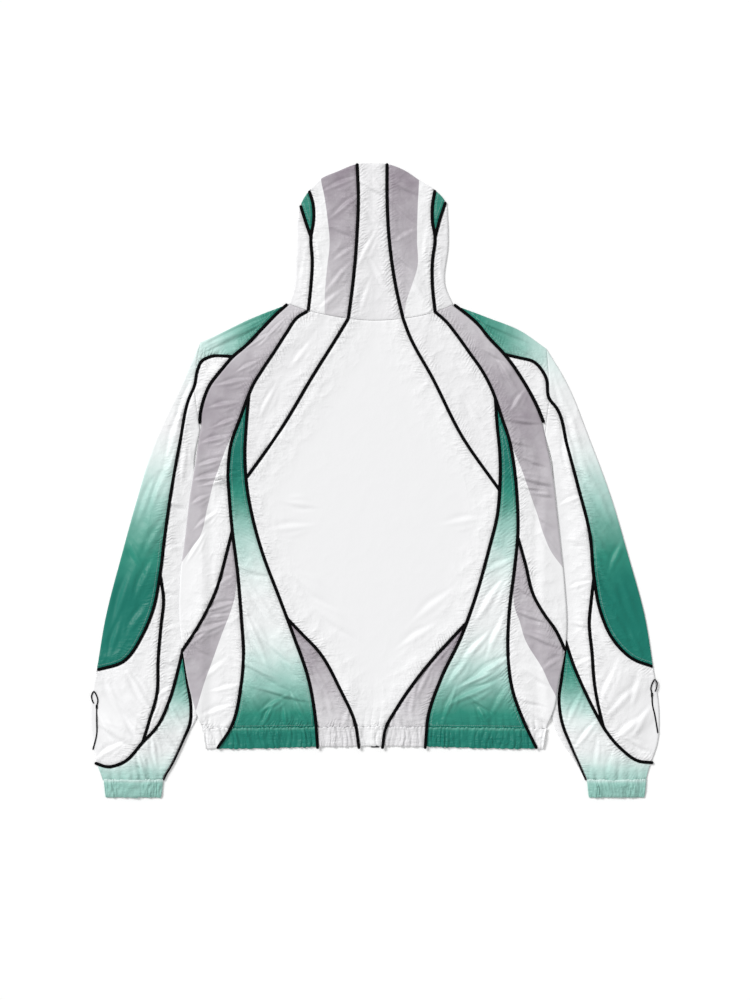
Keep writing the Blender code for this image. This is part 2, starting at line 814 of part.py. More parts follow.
def fronts(side, tag):
    """The front under the back, from the zip out to the side seam. What shows of it is its edge."""
    centre = (np.array([(side * ZIP_HALF, 700.0), (side * ZIP_HALF, -60.0)]), 0)
    hem, foot = (across("hem_top"), PLAIN), (across("hem_end"), 0)
    neck, edge = (line(side, "neck"), PLAIN), (line(side, "body_edge"), 0)
    armhole, shoulder = (line(side, "armhole_top", "armhole_foot"), PLAIN), (line(side, "shoulder"), 0)
    sides = [neck, centre, hem, edge, armhole, shoulder]
    panel(f"front_{tag}", sides, body_lower, WHITE, LOWER_PITCH)
    panel(f"hem_front_{tag}", [hem, centre, foot, edge], body_lower, WHITE, LOWER_PITCH)


def hood_front():
    """The underside of the hood, round the face opening, which lies closed against the ground."""
    edge = across_from_sides("hood_edge")
    half, top = FACE_OPENING
    face = [(-half, 600), (-half, 700), (-half * 0.85, top - 40), (-half * 0.45, top - 9), (0, top)]
    opening = smooth_line(face + [(-x, y) for x, y in face[-2::-1]])
    necks = [line(side, "neck") for side in (-1, 1)]
    sides = [(necks[0], PLAIN), (edge, 0), (necks[1], PLAIN), (opening, 0)]
    panel("hood_front", sides, flat_lower, WHITE, LOWER_PITCH)


def front_zip():
    """The closed zip: its tapes lie flat, with the coil and, near the neck, the slider on their inner side.
    Columns: height above the hem, half width and height of what stands on the tapes."""
    half = ZIP_HALF - GAP
    stations = (
        (1, 2.5, 0.05),
        (40, 2.5, 0.05),
        (66, 2.5, 0.8),
        (300, 2.5, 0.8),
        (604, 2.5, 0.8),
        (606, 4.0, 2.0),
        (618, 4.0, 2.0),
        (620, 2.5, 0.8),
        (637, 2.5, 0.8),
    )
    sections = []
    for y, wide, high in stations:
        ridge = [(wide, WALL), (wide - 0.6, WALL + high), (0.6 - wide, WALL + high), (-wide, WALL)]
        profile = [(-half, 0), (half, 0), (half, WALL), *ridge, (-half, WALL)]
        sections.append([(x, y, z) for x, z in profile])
    piece("front_zip", *tube_faces(sections), BLACK)


def ripple(share, count):
    """Gathers along a band: round waves whose height differs a little from one to the next."""
    wave = 0.5 - 0.5 * np.cos(2 * math.pi * count * share)
    return wave * (0.8 + 0.2 * np.sin(5.3 * count * share))


def hem_back():
    """The gathered casing along the back, rippled on its outside over a plain inside."""
    low, high = across("hem_end"), across("hem_top")
    share = np.linspace(0, 1, HEM_GATHERS * 3 + 1)
    outer, inner = [], []
    for up, swell in ((0, 0.5), (0.5, 1), (1, 0.4)):
        span = line(-1, "body_edge")[-4:], line(1, "body_edge")[-4:]
        left, right = (np.interp(up * HEM_HEIGHT, one[::-1, 1], one[::-1, 0]) for one in span)
        x = left + (right - left) * share
        y = np.interp(x, *low.T) * (1 - up) + (np.interp(x, *high.T) - GAP) * up
        z = body_upper(np.column_stack([x, y]))
        raised = HEM_RIPPLE * swell * ripple(share, HEM_GATHERS)
        outer.append(np.column_stack([x, y, z + WALL + raised]))
        if up in (0, 1):
            inner.append(np.column_stack([x, y, z]))
    loops = np.array(inner[:1] + outer + inner[1:])
    sections = [[tuple(point) for point in loops[:, k]] for k in range(len(share))]
    piece("hem_back", *tube_faces(sections), WHITE)


def cuff(side, tag):
    """An elastic cuff: a flat tube, rippled on top and smooth where it rests and inside.
    Columns of the rows: height above the hem, share of the ripple, and how far the sides are drawn in."""
    share = np.linspace(0, 1, CUFF_GATHERS * 4 + 1)
    rows = ((CUFF_TOP - GAP, 0.5, 0.0), (-54.0, 1.0, 1.0), (-68.0, 1.0, 1.5), (CUFF_END, 0.6, 2.0))
    round_end = np.sqrt(np.clip(1 - (2 * share - 1) ** 8, 0, 1))
    points = []
    for y, swell, drawn_in in rows:
        near, far = CUFF_SPAN[0] + drawn_in, CUFF_SPAN[1] - drawn_in
        swollen = CUFF_HEIGHT - WALL + CUFF_RIPPLE * swell * ripple(share, CUFF_GATHERS)
        outer = np.column_stack([far + (near - far) * share, WALL + swollen * round_end])
        inner = np.column_stack([far - WALL + (near - far + 2 * WALL) * share, 0 * share + WALL + GAP])
        outer = np.vstack([[(near, 0), (far, 0)], outer])
        inner = np.vstack([[(near + WALL, WALL), (far - WALL, WALL)], inner])
        points += [(side * x, y, z) for x, z in np.vstack([outer, inner])]
    size = len(share) + 2
    faces = []
    for row in range(len(rows) - 1):
        for k in range(size):
            for first in (0, size):
                a, b = 2 * size * row + first + k, 2 * size * row + first + (k + 1) % size
                faces.append((a, b, b + 2 * size, a + 2 * size))
    for base in (0, 2 * size * (len(rows) - 1)):
        for k in range(size):
            a, b = base + k, base + (k + 1) % size
            faces.append((a, b, b + size, a + size))
    piece(f"cuff_{tag}", points, faces, MINT)


def sleeve_zip_path(side):
    """From the zip's lower end up to its top, and once round the loop of its pull."""
    column = 0 if side < 0 else 2
    rows = [row[column : column + 2] for row in SEAMS["sleeve_zip"]]
    loop = [(rows[0][0] + x, rows[0][1] + y) for x, y in PULL_LOOP]
    return smooth_line([(side * x, y) for x, y in rows[::-1] + loop], 6.0)


def sleeve_zip(side, tag):
    """The thin zip near the outer edge of the forearm, with its pull of looped cord, in one piece."""
    path = sleeve_zip_path(side)
    lying = sleeve_top(path) + WALL + 2 * GAP
    sections = []
    for at, out, z in zip(path, normals(path), lying):
        left, right = at + out * ZIP_LINE / 2, at - out * ZIP_LINE / 2
        sections.append([(*right, z), (*left, z), (*left, z + 0.9), (*right, z + 0.9)])
    piece(f"sleeve_zip_{tag}", *tube_faces(sections), BLACK)


def pipings(side, tag):
    """Every piped seam of one side. A branch is fused into the piping that it leaves."""
    main = line(side, "back_main", "flank_outer")
    main = main[main[:, 1] > 0.8]
    inner, yoke = line(side, "flank_inner"), line(side, "yoke", "body_edge")
    lower = line(side, "sleeve_lower")
    upper = line(side, "yoke_lower", "sleeve_upper")

    def over_hem(points):
        """Piping climbs from its seam on to the gathered casing and runs over it to the edge."""
        climb = soft_step((HEM_HEIGHT + HEM_CLIMB - points[:, 1]) / HEM_CLIMB_RAMP)
        return body_upper(points) + climb * (WALL + HEM_RIPPLE + GAP)

    def cord(name, curve, height, start=0.0, end=0.0, **more):
        return piping(f"{name}_{tag}", shortened(curve, start, end), height, **more)

    cord("hood_crown_piping", line(side, "hood_crown"), body_upper, end=PIPING_BUTT)
    rib = cord("hood_side_piping", line(side, "hood_side"), body_upper, end=PIPING_BUTT)
    joined(rib, cord("hood_gusset_branch", line(side, "hood_gusset"), body_upper, lift=BRANCH_LIFT))
    diagonal = line(side, "back_diagonal")
    cord("back_diagonal_piping", diagonal, body_upper, start=PIPING_BUTT, beside=[inner])
    outer = cord("flank_outer_piping", main, over_hem, start=PIPING_BUTT)
    joined(outer, cord("side_wrap_branch", line(side, "side_wrap"), over_hem, lift=BRANCH_LIFT, end=1.0))
    inside_line = cord("flank_inner_piping", inner, over_hem, end=0.8, beside=[main])
    wedge = line(side, "back_wedge")
    joined(inside_line, cord("back_wedge_branch", wedge, over_hem, lift=BRANCH_LIFT, end=0.8))
    cord("yoke_piping", yoke[yoke[:, 1] > PIPING_FOOT], body_upper, start=2.6)
    top_line = cord("sleeve_upper_piping", upper, sleeve_top, beside=[yoke], end=0.5)
    fore = line(side, "forearm")
    joined(top_line, cord("forearm_branch", fore, sleeve_top, lift=BRANCH_LIFT, beside=[lower]))
    low_line = cord("sleeve_lower_piping", lower, sleeve_top, end=0.5)
    along = line(side, "sleeve_inner")
    branch = cord("sleeve_inner_branch", along, sleeve_top, lift=BRANCH_LIFT, end=SLEEVE_SEAM_BARE)
    joined(low_line, branch)


JACKET = collection("hooded_track_jacket")
BRANCHES = collection("piping_branches", hidden=True)
PLACE = bpy.data.objects.new("middle_of_box", None)
PLACE.location = (-MIDDLE_X * MM, -MIDDLE_Y * MM, 0)
JACKET.objects.link(PLACE)

if __name__ == "__main__":
    for number, label in ((-1, "left"), (1, "right")):
        hood(number, label)
        body_side(number, label)
        sleeve(number, label)
        fronts(number, label)
        cuff(number, label)
        sleeve_zip(number, label)
        pipings(number, label)
    body_middle()
    hood_front()
    front_zip()
    hem_back()
    bpy.context.view_layer.update()
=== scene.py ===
"""Looks of the hooded track jacket, laid flat with its back up and its sleeves beside it.

Every panel is a thin surface between its seam lines, laid by the same height function as its solid, with
its creases, puckers and gathers. The prints are carried to the material by attributes in the meshes.

Sizes are in millimetres on the table until a mesh is made: X runs across the jacket, Y up from the hem to
the hood, and Z up from the ground. MIDDLE moves them to the frame's own middle.
"""

import math

import bmesh
import bpy
import numpy as np
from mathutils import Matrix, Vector


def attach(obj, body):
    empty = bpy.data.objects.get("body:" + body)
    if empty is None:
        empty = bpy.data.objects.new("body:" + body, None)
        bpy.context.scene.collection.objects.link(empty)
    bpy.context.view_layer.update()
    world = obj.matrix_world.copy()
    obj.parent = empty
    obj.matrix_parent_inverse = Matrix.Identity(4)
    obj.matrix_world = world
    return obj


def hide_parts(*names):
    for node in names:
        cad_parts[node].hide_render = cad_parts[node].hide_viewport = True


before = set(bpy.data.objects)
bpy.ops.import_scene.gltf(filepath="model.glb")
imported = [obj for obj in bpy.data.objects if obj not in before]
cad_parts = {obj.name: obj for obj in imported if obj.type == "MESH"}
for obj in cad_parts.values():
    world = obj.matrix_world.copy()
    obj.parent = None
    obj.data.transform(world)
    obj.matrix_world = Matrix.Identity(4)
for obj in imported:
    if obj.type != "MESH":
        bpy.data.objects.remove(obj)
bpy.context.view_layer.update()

MM = 0.001
MIDDLE = np.array([-0.32, 401.55])

# The cloth and how its layers lie, as in the solids.
WALL = 1.2
GAP = 0.3
PIPING_WIDTH = 4.2
PIPING_PROUD = 0.9
PIPED = PIPING_WIDTH / 2 + GAP  # what the cloth keeps from a piped seam line
PLAIN = GAP / 2  # and from a plain one
UPPER = WALL + GAP
LOFT = 3.3
LOFT_REACH = 55.0
FOLD_REACH = 30.0
SLEEVE_STACK = 2 * (WALL + GAP) + 0.3
STACK_SHOULDER = 3.0
STACK_RAMP = 18.0
STACK_TOP = 470.0
STACK_RISES = 13.0, 42.0  # lengths over which the stack begins above the hem and ends below the arm
BESIDE_BODY = 6.0
COVERED = 20.0, 425.0  # heights above the hem between which the body lies over a sleeve
PRESS_RAMP = 14.0
SLEEVE_LEAVES = 44.0
HEM_HEIGHT = 31.0
HEM_GATHERS = 56
CUFF_TOP, CUFF_END = -48.0, -74.0
CUFF_GATHERS = 11
CUFF_SPAN = 317.5, 407.0
CUFF_HEIGHT = 3.4
CUFF_SEAM = 460.0, 260.0  # the line of the cuff's seam, from beyond the sleeve to beside it
ZIP_HALF = 6.0
ZIP_SEAM = 700.0, -60.0
PIPING_FOOT = 486.0  # lower end of the yoke's piping
PIPING_FADE = 20.0  # length below it over which the cloth closes up
FACE_OPENING = 40.0, 812.0
PULL_LOOP = ((-1.6, 7), (0.2, 14.5), (4.6, 21), (7.6, 16), (6.6, 7), (4.2, 2.6))

# How finely the surfaces are made.
LINE_PITCH = 3.0
ALONG, ACROSS_STEP = 1.5, 3.2
WIDE_ALONG, WIDE_ACROSS = 2.0, 3.6
HIDDEN_STEP = 6.0
HIDDEN_SKIN = 0.5  # height of the lower layer's underside above where it rests
FINE_STEPS = 1.2, 2.4
EDGE_STEPS = np.array([0, 0.5, 1.2, 2.2, 3.6, 5.4])
EDGE_BOTH = 11  # taken up by the close steps at both ends
OUTLINE_PITCH = 9.0
SHELL = 0.45
CREASE_DEPTH = 1.45
DEEPEST = 1.6  # of any crease, so that the cloth stays above the layer below
FOLD_NEAR, CREASE_NEAR = 130.0, 110.0  # a fold further than this from a panel is left out of it
CREASE_RIM = 12.0  # width over which creases die away at the jacket's outline
FAR = 60.0  # a gap to a seam or a print's border that stands for none near
SPARE = 0.02  # of a panel's width, past what its area needs
LEAST_CUT = 0.31  # the least share of its width by its length that a panel's cut takes up

# Seam lines as they lie, one row for each point that a line runs through.
# Columns: distance from the centre and height above the hem on the left, then the same on the right.
SEAMS = {
    "hood_crown": (
        (27, 877, 18, 877), (25, 828, 18, 828), (27, 770, 20, 777), (31, 717, 25, 729),
        (36, 674, 32, 687), (40, 644, 42, 644),
    ),
    "hood_side": (
        (99, 836, 90, 837), (93, 816, 86, 812), (92, 792, 86, 790), (96, 766, 90, 766),
        (94, 729, 86, 729), (96, 694, 86, 694), (100, 656, 90, 654),
    ),
    "hood_gusset": (
        (112, 814, 106, 819), (104, 789, 97, 792), (96, 766, 90, 766),
    ),
    "hood_edge": (
        (129, 666, 117, 665), (122, 690, 106, 690), (118, 742, 110, 759), (116, 794, 109, 794),
        (112, 814, 106, 819), (99, 836, 90, 837), (81, 854, 66, 852), (56, 865, 47, 865),
        (27, 876, 18, 876), (0, 877, 0, 877),
    ),
    "neck": (
        (129, 666, 117, 665), (100, 656, 90, 654), (75, 650, 68, 648), (40, 644, 42, 644),
        (0, 641, 0, 641),
    ),
    "yoke": (
        (130, 667, 117, 666), (147, 652, 132, 655), (172, 626, 152, 638), (194, 603, 171, 615),
        (213, 587, 196, 588), (231, 566, 216, 560), (249, 542, 234, 530), (257, 522, 247, 503),
        (262, 501, 254, 483), (263, 477, 255, 471),
    ),
    "body_edge": (
        (263, 477, 255, 471), (269, 430, 265, 417), (278, 375, 273, 350), (285, 315, 278, 304),
        (291, 267, 284, 244), (291, 168, 287, 174), (287, 141, 284, 144), (279, 94, 274, 92),
        (268, 54, 269, 62), (258, 27, 256, 27), (254, 0, 252, 0),
    ),
    "back_main": (
        (101, 655, 90, 654), (116, 646, 106, 640), (133, 622, 122, 620), (151, 594, 142, 592),
        (169, 567, 159, 568), (183, 544, 174, 540), (189, 530, 180, 525),
    ),
    "flank_outer": (
        (189, 530, 180, 525), (202, 495, 190, 495), (215, 459, 201, 462), (220, 420, 208, 424),
        (218, 372, 213, 372), (214, 327, 214, 324), (206, 264, 209, 270), (200, 192, 201, 204),
        (197, 140, 199, 146), (201, 92, 204, 96), (215, 33, 226, 33), (236, 0, 242, 0),
    ),
    "flank_inner": (
        (189, 530, 180, 525), (193, 483, 183, 483), (195, 440, 187, 440), (192, 392, 187, 392),
        (184, 348, 183, 348), (172, 303, 172, 303), (142, 222, 149, 222), (121, 166, 128, 165),
        (100, 105, 99, 105), (90, 50, 80, 50), (86, 0, 75, 0),
    ),
    "back_diagonal": (
        (40, 644, 42, 644), (52, 624, 50, 622), (95, 555, 87, 553), (141, 478, 130, 468),
        (192, 406, 187, 386),
    ),
    "back_wedge": (
        (130, 193, 135, 186), (110, 172, 109, 158), (85, 146, 82, 128), (52, 88, 32, 59),
        (30, 38, 16, 30), (24, 0, 11, 0),
    ),
    "side_wrap": (
        (214, 326, 214, 316), (224, 286, 225, 277), (238, 237, 238, 228), (254, 202, 254, 200),
        (269, 176, 270, 178), (289, 146, 285, 147),
    ),
    "yoke_lower": (
        (213, 587, 194, 590), (249, 586, 216, 585), (260, 580, 238, 579), (266, 567, 256, 556),
        (271, 542, 261, 524),
    ),
    "sleeve_upper": (
        (271, 542, 261, 524), (278, 526, 272, 510), (292, 460, 288, 453), (304, 393, 304, 393),
        (316, 310, 322, 320), (322, 261, 328, 256), (333, 206, 338, 204), (347, 172, 356, 164),
        (377, 130, 386, 134), (417, 117, 417, 122),
    ),
    "armhole_top": (
        (262, 608, 257, 599), (268, 574, 260, 561), (271, 542, 261, 524),
    ),
    "armhole_foot": (
        (271, 542, 261, 524), (268, 514, 258, 500), (263, 477, 255, 471),
    ),
    "forearm": (
        (322, 261, 328, 256), (317, 222, 324, 222), (321, 182, 321, 189), (325, 132, 325, 144),
        (327, 80, 329, 94), (338, 41, 336, 56), (348, 9, 342, 32),
    ),
    "sleeve_lower": (
        (288, 148, 286, 160), (296, 114, 297, 126), (308, 72, 315, 84), (326, 33, 332, 50),
        (348, 9, 342, 32), (377, -21, 370, -2), (400, -28, 394, -19), (421, -22, 418, -22),
    ),
    "sleeve_inner": (
        (288, 148, 286, 160), (281, 96, 280, 106), (276, 62, 276, 75), (277, 39, 280, 40),
        (286, 15, 294, 3), (304, -24, 312, -38), (317, -48, 318, -53), (319, -74, 319, -74),
    ),
    "shoulder": (
        (130, 666, 117, 665), (191, 642, 171, 645), (236, 620, 216, 627), (262, 608, 257, 599),
    ),
    "sleeve_edge": (
        (262, 608, 257, 599), (282, 563, 286, 550), (329, 462, 322, 462), (359, 366, 354, 376),
        (380, 290, 379, 292), (405, 192, 406, 192), (417, 120, 417, 122), (426, 69, 426, 50),
        (424, 12, 424, 10), (416, -27, 412, -27), (409, -46, 407, -46), (406, -74, 406, -74),
    ),
    "underarm": (
        (263, 477, 255, 471), (271, 430, 267, 417), (267, 385, 262, 375), (264, 300, 258, 290),
        (264, 150, 258, 150), (265, 80, 262, 80), (268, 44, 266, 45), (275, 31, 270, 30),
        (283.8, 14.2, 284, 3), (293, -6, 295, -13), (302.1, -24.9, 310.1, -38.8),
        (315, -48.6, 316, -53.6), (316.9, -74, 316.9, -74),
    ),
    "sleeve_zip": (
        (417, 64, 415, 82), (417, 42, 416, 64), (417, 22, 419, 51), (423, -3, 424, 22),
    ),
}
ACROSS = {
    "hood_top": ((-56, 865), (-27, 876), (0, 877), (18, 876), (47, 865)),
    "hem_top": ((-270, 29), (-120, 31), (0, 32), (120, 31), (270, 29)),
    "hem_end": ((-290, 0), (-180, 0), (-90, 2.5), (0, 4), (90, 2.5), (180, 0), (290, 0)),
}

# The largest folds of the upper layer.
# Columns: middle X and Y, turn in degrees from X, length, width and height.
FOLDS = (
    (-228, 440, 22, 80, 26, 2.6), (-236, 398, 38, 74, 24, 2.2), (226, 452, 158, 70, 26, 2.4),
    (238, 404, 146, 76, 24, 2.2), (-338, 330, 62, 120, 30, 3.0), (-366, 250, 70, 100, 26, 2.4),
    (352, 338, 116, 124, 30, 3.0), (376, 246, 108, 100, 26, 2.4), (-352, 70, 128, 110, 30, 2.8),
    (-388, 30, 140, 80, 26, 2.2), (354, 74, 54, 110, 30, 2.8), (388, 34, 44, 80, 26, 2.2),
    (-180, 96, 96, 90, 26, 2.2), (170, 92, 86, 90, 26, 2.2), (-40, 78, 92, 80, 28, 1.8),
    (58, 84, 90, 80, 28, 1.8), (-232, 560, 152, 70, 22, 1.8), (206, 570, 30, 66, 22, 1.8),
    (-62, 704, 74, 84, 24, 2.0), (60, 700, 106, 84, 24, 2.0),
)

# Creases of the thin cloth, as they lie.
# Columns: middle X and Y, turn in degrees from X, length, width, height (a trough is negative) and bend.
CREASES = (
    # Shoulders: a long fold below each shoulder's edge, and short ones across the bands.
    (-212, 622, 24, 84, 7, 2.4, 5), (-214, 612, 24, 92, 6, -1.5, 6), (-176, 610, 34, 40, 7, 1.2, -4),
    (-228, 590, 18, 34, 8, 1.1, 3), (-150, 628, 46, 34, 6, 0.9, 0), (196, 624, 158, 80, 7, 2.2, -5),
    (198, 614, 158, 88, 6, -1.4, -6), (160, 626, 138, 36, 6, 1.0, 3), (224, 596, 150, 34, 8, 1.2, 0),
    (-190, 572, 24, 30, 8, 1.2, 3), (-212, 548, 14, 40, 9, 1.5, -4), (-226, 514, 8, 38, 9, 1.4, 4),
    (-222, 488, 20, 34, 8, 1.2, 0), (-240, 462, 10, 36, 9, 1.6, 5), (-246, 428, 16, 44, 8, 1.9, -4),
    (-244, 406, 8, 62, 9, 3.0, 4), (-236, 398, 14, 44, 6, 1.5, -3), (-262, 372, 26, 28, 8, 1.1, 0),
    (-252, 342, 34, 34, 9, 1.2, 4), (-268, 300, 58, 40, 8, 1.0, 0), (178, 590, 150, 32, 8, 1.2, 4),
    (198, 560, 118, 44, 9, 1.6, 5), (214, 520, 60, 36, 9, 1.4, -5), (222, 490, 170, 40, 8, 1.6, 6),
    (216, 458, 166, 36, 8, 1.3, -3), (238, 430, 158, 34, 9, 1.6, 4), (244, 400, 168, 58, 9, 2.9, -5),
    (238, 390, 174, 42, 6, 1.4, 3), (256, 380, 172, 34, 7, 1.6, 3), (250, 344, 144, 32, 8, 1.1, 0),
    (262, 306, 128, 38, 8, 1.0, 4),
    # The low side panels.
    (-226, 250, 28, 34, 9, 1.1, 3), (-234, 212, 16, 46, 9, 2.2, -3), (-232, 198, 6, 36, 6, 1.2, 3),
    (-250, 178, 18, 52, 9, 2.6, 5), (-262, 166, 34, 34, 7, 1.7, 3), (-262, 150, 150, 34, 9, 1.2, 0),
    (-240, 118, 38, 44, 10, 1.2, 4), (-222, 90, 12, 38, 9, 1.2, 0), (-236, 56, 22, 42, 10, 1.2, -4),
    (224, 236, 150, 34, 8, 1.2, 3), (234, 198, 162, 46, 9, 2.1, -4), (252, 162, 156, 50, 9, 2.3, 4),
    (266, 128, 34, 34, 9, 1.2, 0), (242, 108, 144, 42, 10, 1.3, 4), (230, 72, 164, 38, 9, 1.2, 0),
    (244, 48, 150, 40, 10, 1.1, -4),
    # The tapered flanks: large soft waves above the hem.
    (-184, 268, 160, 44, 12, 1.4, 6), (-168, 216, 122, 66, 13, 1.7, 8), (-178, 166, 116, 62, 12, 2.4, -7),
    (-146, 148, 138, 54, 12, 2.0, 7), (-166, 114, 150, 70, 12, 3.2, 8), (-150, 100, 160, 50, 8, 2.0, -5),
    (-124, 122, 134, 48, 11, 1.9, -6), (-140, 82, 162, 64, 11, 3.4, 6), (-150, 68, 30, 40, 9, 2.6, 4),
    (-184, 68, 118, 48, 11, 1.8, 5), (-114, 62, 118, 44, 9, 2.8, -5), (-160, 50, 62, 36, 8, 2.6, 0),
    (-134, 46, 96, 34, 8, 2.4, 3), (184, 272, 24, 44, 12, 1.3, 5), (172, 222, 60, 62, 13, 1.7, -7),
    (182, 170, 64, 56, 12, 1.6, 6), (150, 150, 44, 54, 12, 1.9, 6), (172, 118, 34, 68, 12, 3.0, -7),
    (154, 104, 22, 50, 8, 1.9, 5), (126, 116, 48, 44, 11, 1.8, 5), (146, 82, 22, 64, 11, 3.2, 6),
    (158, 68, 150, 40, 9, 2.4, -4), (188, 72, 62, 46, 11, 1.7, -5), (112, 66, 66, 44, 9, 2.6, 4),
    (162, 48, 116, 36, 8, 2.5, 0),
    # The wedges and the middle of the back above the hem.
    (-102, 146, 132, 34, 9, 1.3, 4), (-82, 104, 120, 40, 9, 1.4, -4), (-68, 66, 104, 36, 9, 1.5, 3),
    (-44, 44, 72, 30, 9, 1.3, 0), (100, 140, 50, 34, 9, 1.3, -4), (74, 100, 62, 40, 9, 1.4, 4),
    (56, 64, 78, 36, 9, 1.4, 3), (36, 42, 108, 28, 9, 1.2, 0), (-96, 240, 140, 60, 14, 0.9, 6),
    (-60, 190, 148, 66, 14, 0.9, -6), (88, 214, 36, 60, 14, 0.8, 5), (64, 168, 30, 54, 13, 0.8, 4),
    (-128, 330, 4, 54, 12, 0.8, 4), (-112, 366, 172, 40, 11, 0.7, 0), (132, 340, 8, 50, 12, 0.7, 3),
    (-96, 520, 56, 60, 14, 0.6, 6), (-148, 470, 66, 50, 12, 0.8, -4), (-160, 520, 60, 44, 10, 0.9, 4),
    (150, 500, 118, 50, 11, 0.9, 4), (138, 560, 128, 44, 11, 0.8, -4), (-110, 590, 52, 44, 11, 0.7, 0),
    # Sleeves: long soft folds down each, and short ones at the forearm.
    (-284, 520, 68, 60, 11, 1.4, 5), (-300, 470, 76, 70, 12, 1.5, -5), (-318, 400, 64, 80, 13, 1.8, 7),
    (-342, 372, 70, 70, 12, 1.6, -6), (-330, 316, 58, 60, 12, 1.8, 6), (-362, 296, 116, 50, 12, 1.5, 5),
    (-346, 252, 62, 60, 12, 2.0, 6), (-378, 226, 74, 70, 13, 1.7, -6), (-354, 196, 54, 54, 12, 1.7, 5),
    (-388, 168, 70, 50, 11, 1.5, 4), (-286, 430, 82, 50, 10, 1.0, 3), (-296, 366, 160, 30, 9, 1.3, 3),
    (-300, 300, 12, 32, 9, 1.1, -3), (-306, 236, 168, 30, 9, 1.1, 3), (-304, 180, 14, 32, 9, 1.0, 0),
    (-308, 130, 152, 30, 9, 1.1, 3), (-316, 84, 32, 30, 9, 1.1, 0), (-330, 50, 62, 30, 8, 1.1, 3),
    (-352, 86, 118, 62, 11, 1.5, 6), (-372, 58, 136, 60, 12, 1.7, -6), (-394, 82, 110, 56, 11, 1.4, 5),
    (-384, 20, 148, 56, 12, 1.6, 6), (-358, 28, 128, 44, 10, 1.4, 0), (-404, 34, 122, 44, 10, 1.3, -4),
    (-398, -4, 28, 40, 10, 1.2, 4), (-300, 52, 118, 44, 10, 1.6, 4), (-312, 16, 128, 50, 10, 1.7, -5),
    (-330, -4, 96, 44, 9, 1.6, 4), (-350, -26, 104, 38, 8, 1.7, 0), (282, 520, 112, 56, 11, 1.4, -5),
    (300, 476, 104, 70, 12, 1.6, 5), (318, 410, 114, 80, 13, 1.9, -7), (340, 370, 110, 66, 12, 1.6, 6),
    (334, 312, 122, 60, 12, 1.7, -6), (364, 290, 62, 50, 12, 1.5, 5), (350, 248, 120, 60, 12, 1.9, -6),
    (380, 222, 108, 70, 13, 1.6, 6), (362, 190, 126, 54, 12, 1.6, -5), (390, 160, 112, 50, 11, 1.4, 4),
    (288, 440, 98, 60, 10, 1.2, 3), (296, 372, 18, 32, 9, 1.2, 3), (302, 310, 164, 32, 9, 1.1, 3),
    (306, 244, 14, 30, 9, 1.1, 0), (308, 186, 166, 32, 9, 1.0, 3), (310, 128, 26, 30, 9, 1.1, 0),
    (320, 88, 148, 30, 9, 1.1, 3), (352, 100, 64, 62, 11, 1.5, 6), (370, 70, 48, 60, 12, 1.7, -6),
    (394, 92, 72, 56, 11, 1.4, 5), (380, 30, 36, 56, 12, 1.6, 6), (402, 44, 60, 44, 10, 1.3, -4),
    (396, 6, 150, 40, 10, 1.2, 4), (300, 60, 64, 44, 10, 1.5, 4), (318, 22, 54, 50, 10, 1.7, -5),
    (334, -10, 84, 44, 9, 1.6, 4), (352, -28, 78, 38, 8, 1.6, 0),
    # The hood: short creases across its bands, longer ones down its middle.
    (-50, 846, 20, 44, 9, 1.4, 4), (-44, 812, 42, 46, 9, 1.4, -4), (-50, 776, 156, 40, 9, 1.3, 4),
    (-44, 742, 32, 36, 9, 1.2, 3), (-54, 706, 52, 50, 9, 1.3, -4), (-66, 672, 40, 40, 9, 1.1, 0),
    (-84, 742, 96, 40, 8, 0.8, 3), (-108, 716, 80, 50, 9, 0.9, 3), (-4, 840, 148, 44, 10, 1.4, 5),
    (2, 796, 130, 50, 10, 1.3, -5), (-12, 748, 60, 50, 10, 1.3, 4), (8, 708, 116, 56, 10, 1.2, 5),
    (-14, 676, 72, 44, 9, 1.1, 0), (46, 840, 152, 40, 9, 1.5, 3), (42, 806, 134, 44, 9, 1.4, 4),
    (46, 768, 30, 36, 9, 1.2, 0), (44, 730, 140, 40, 9, 1.3, -4), (62, 690, 124, 46, 9, 1.1, 4),
    (76, 756, 84, 40, 8, 0.8, 3), (100, 716, 98, 50, 9, 0.9, 0),
)

# Borders of the lavender prints, in the same columns.
PRINTS = {
    "hood": (
        (81, 880, 66, 880), (81, 853, 66, 852), (76, 828, 64, 811), (71, 793, 63, 759),
        (68, 759, 64, 724), (72, 717, 54, 690), (75, 682, 48, 673), (75, 630, 43, 630),
    ),
    "back_side": (
        (74, 668, 62, 668), (116, 612, 106, 606), (150, 560, 142, 552), (176, 514, 168, 500),
        (204, 491, 193, 474), (213, 473, 203, 456), (228, 436, 217, 424), (243, 393, 236, 371),
        (251, 361, 243, 351), (263, 316, 253, 319), (274, 301, 262, 298), (294, 272, 286, 264),
        (310, 250, 300, 240),
    ),
    "flank_low": (
        (206, 262, 206, 240), (211, 222, 210, 208), (217, 203, 216, 192), (229, 172, 224, 165),
        (243, 133, 252, 117), (255, 100, 261, 97), (265, 67, 270, 80), (273, 40, 280, 50),
    ),
}

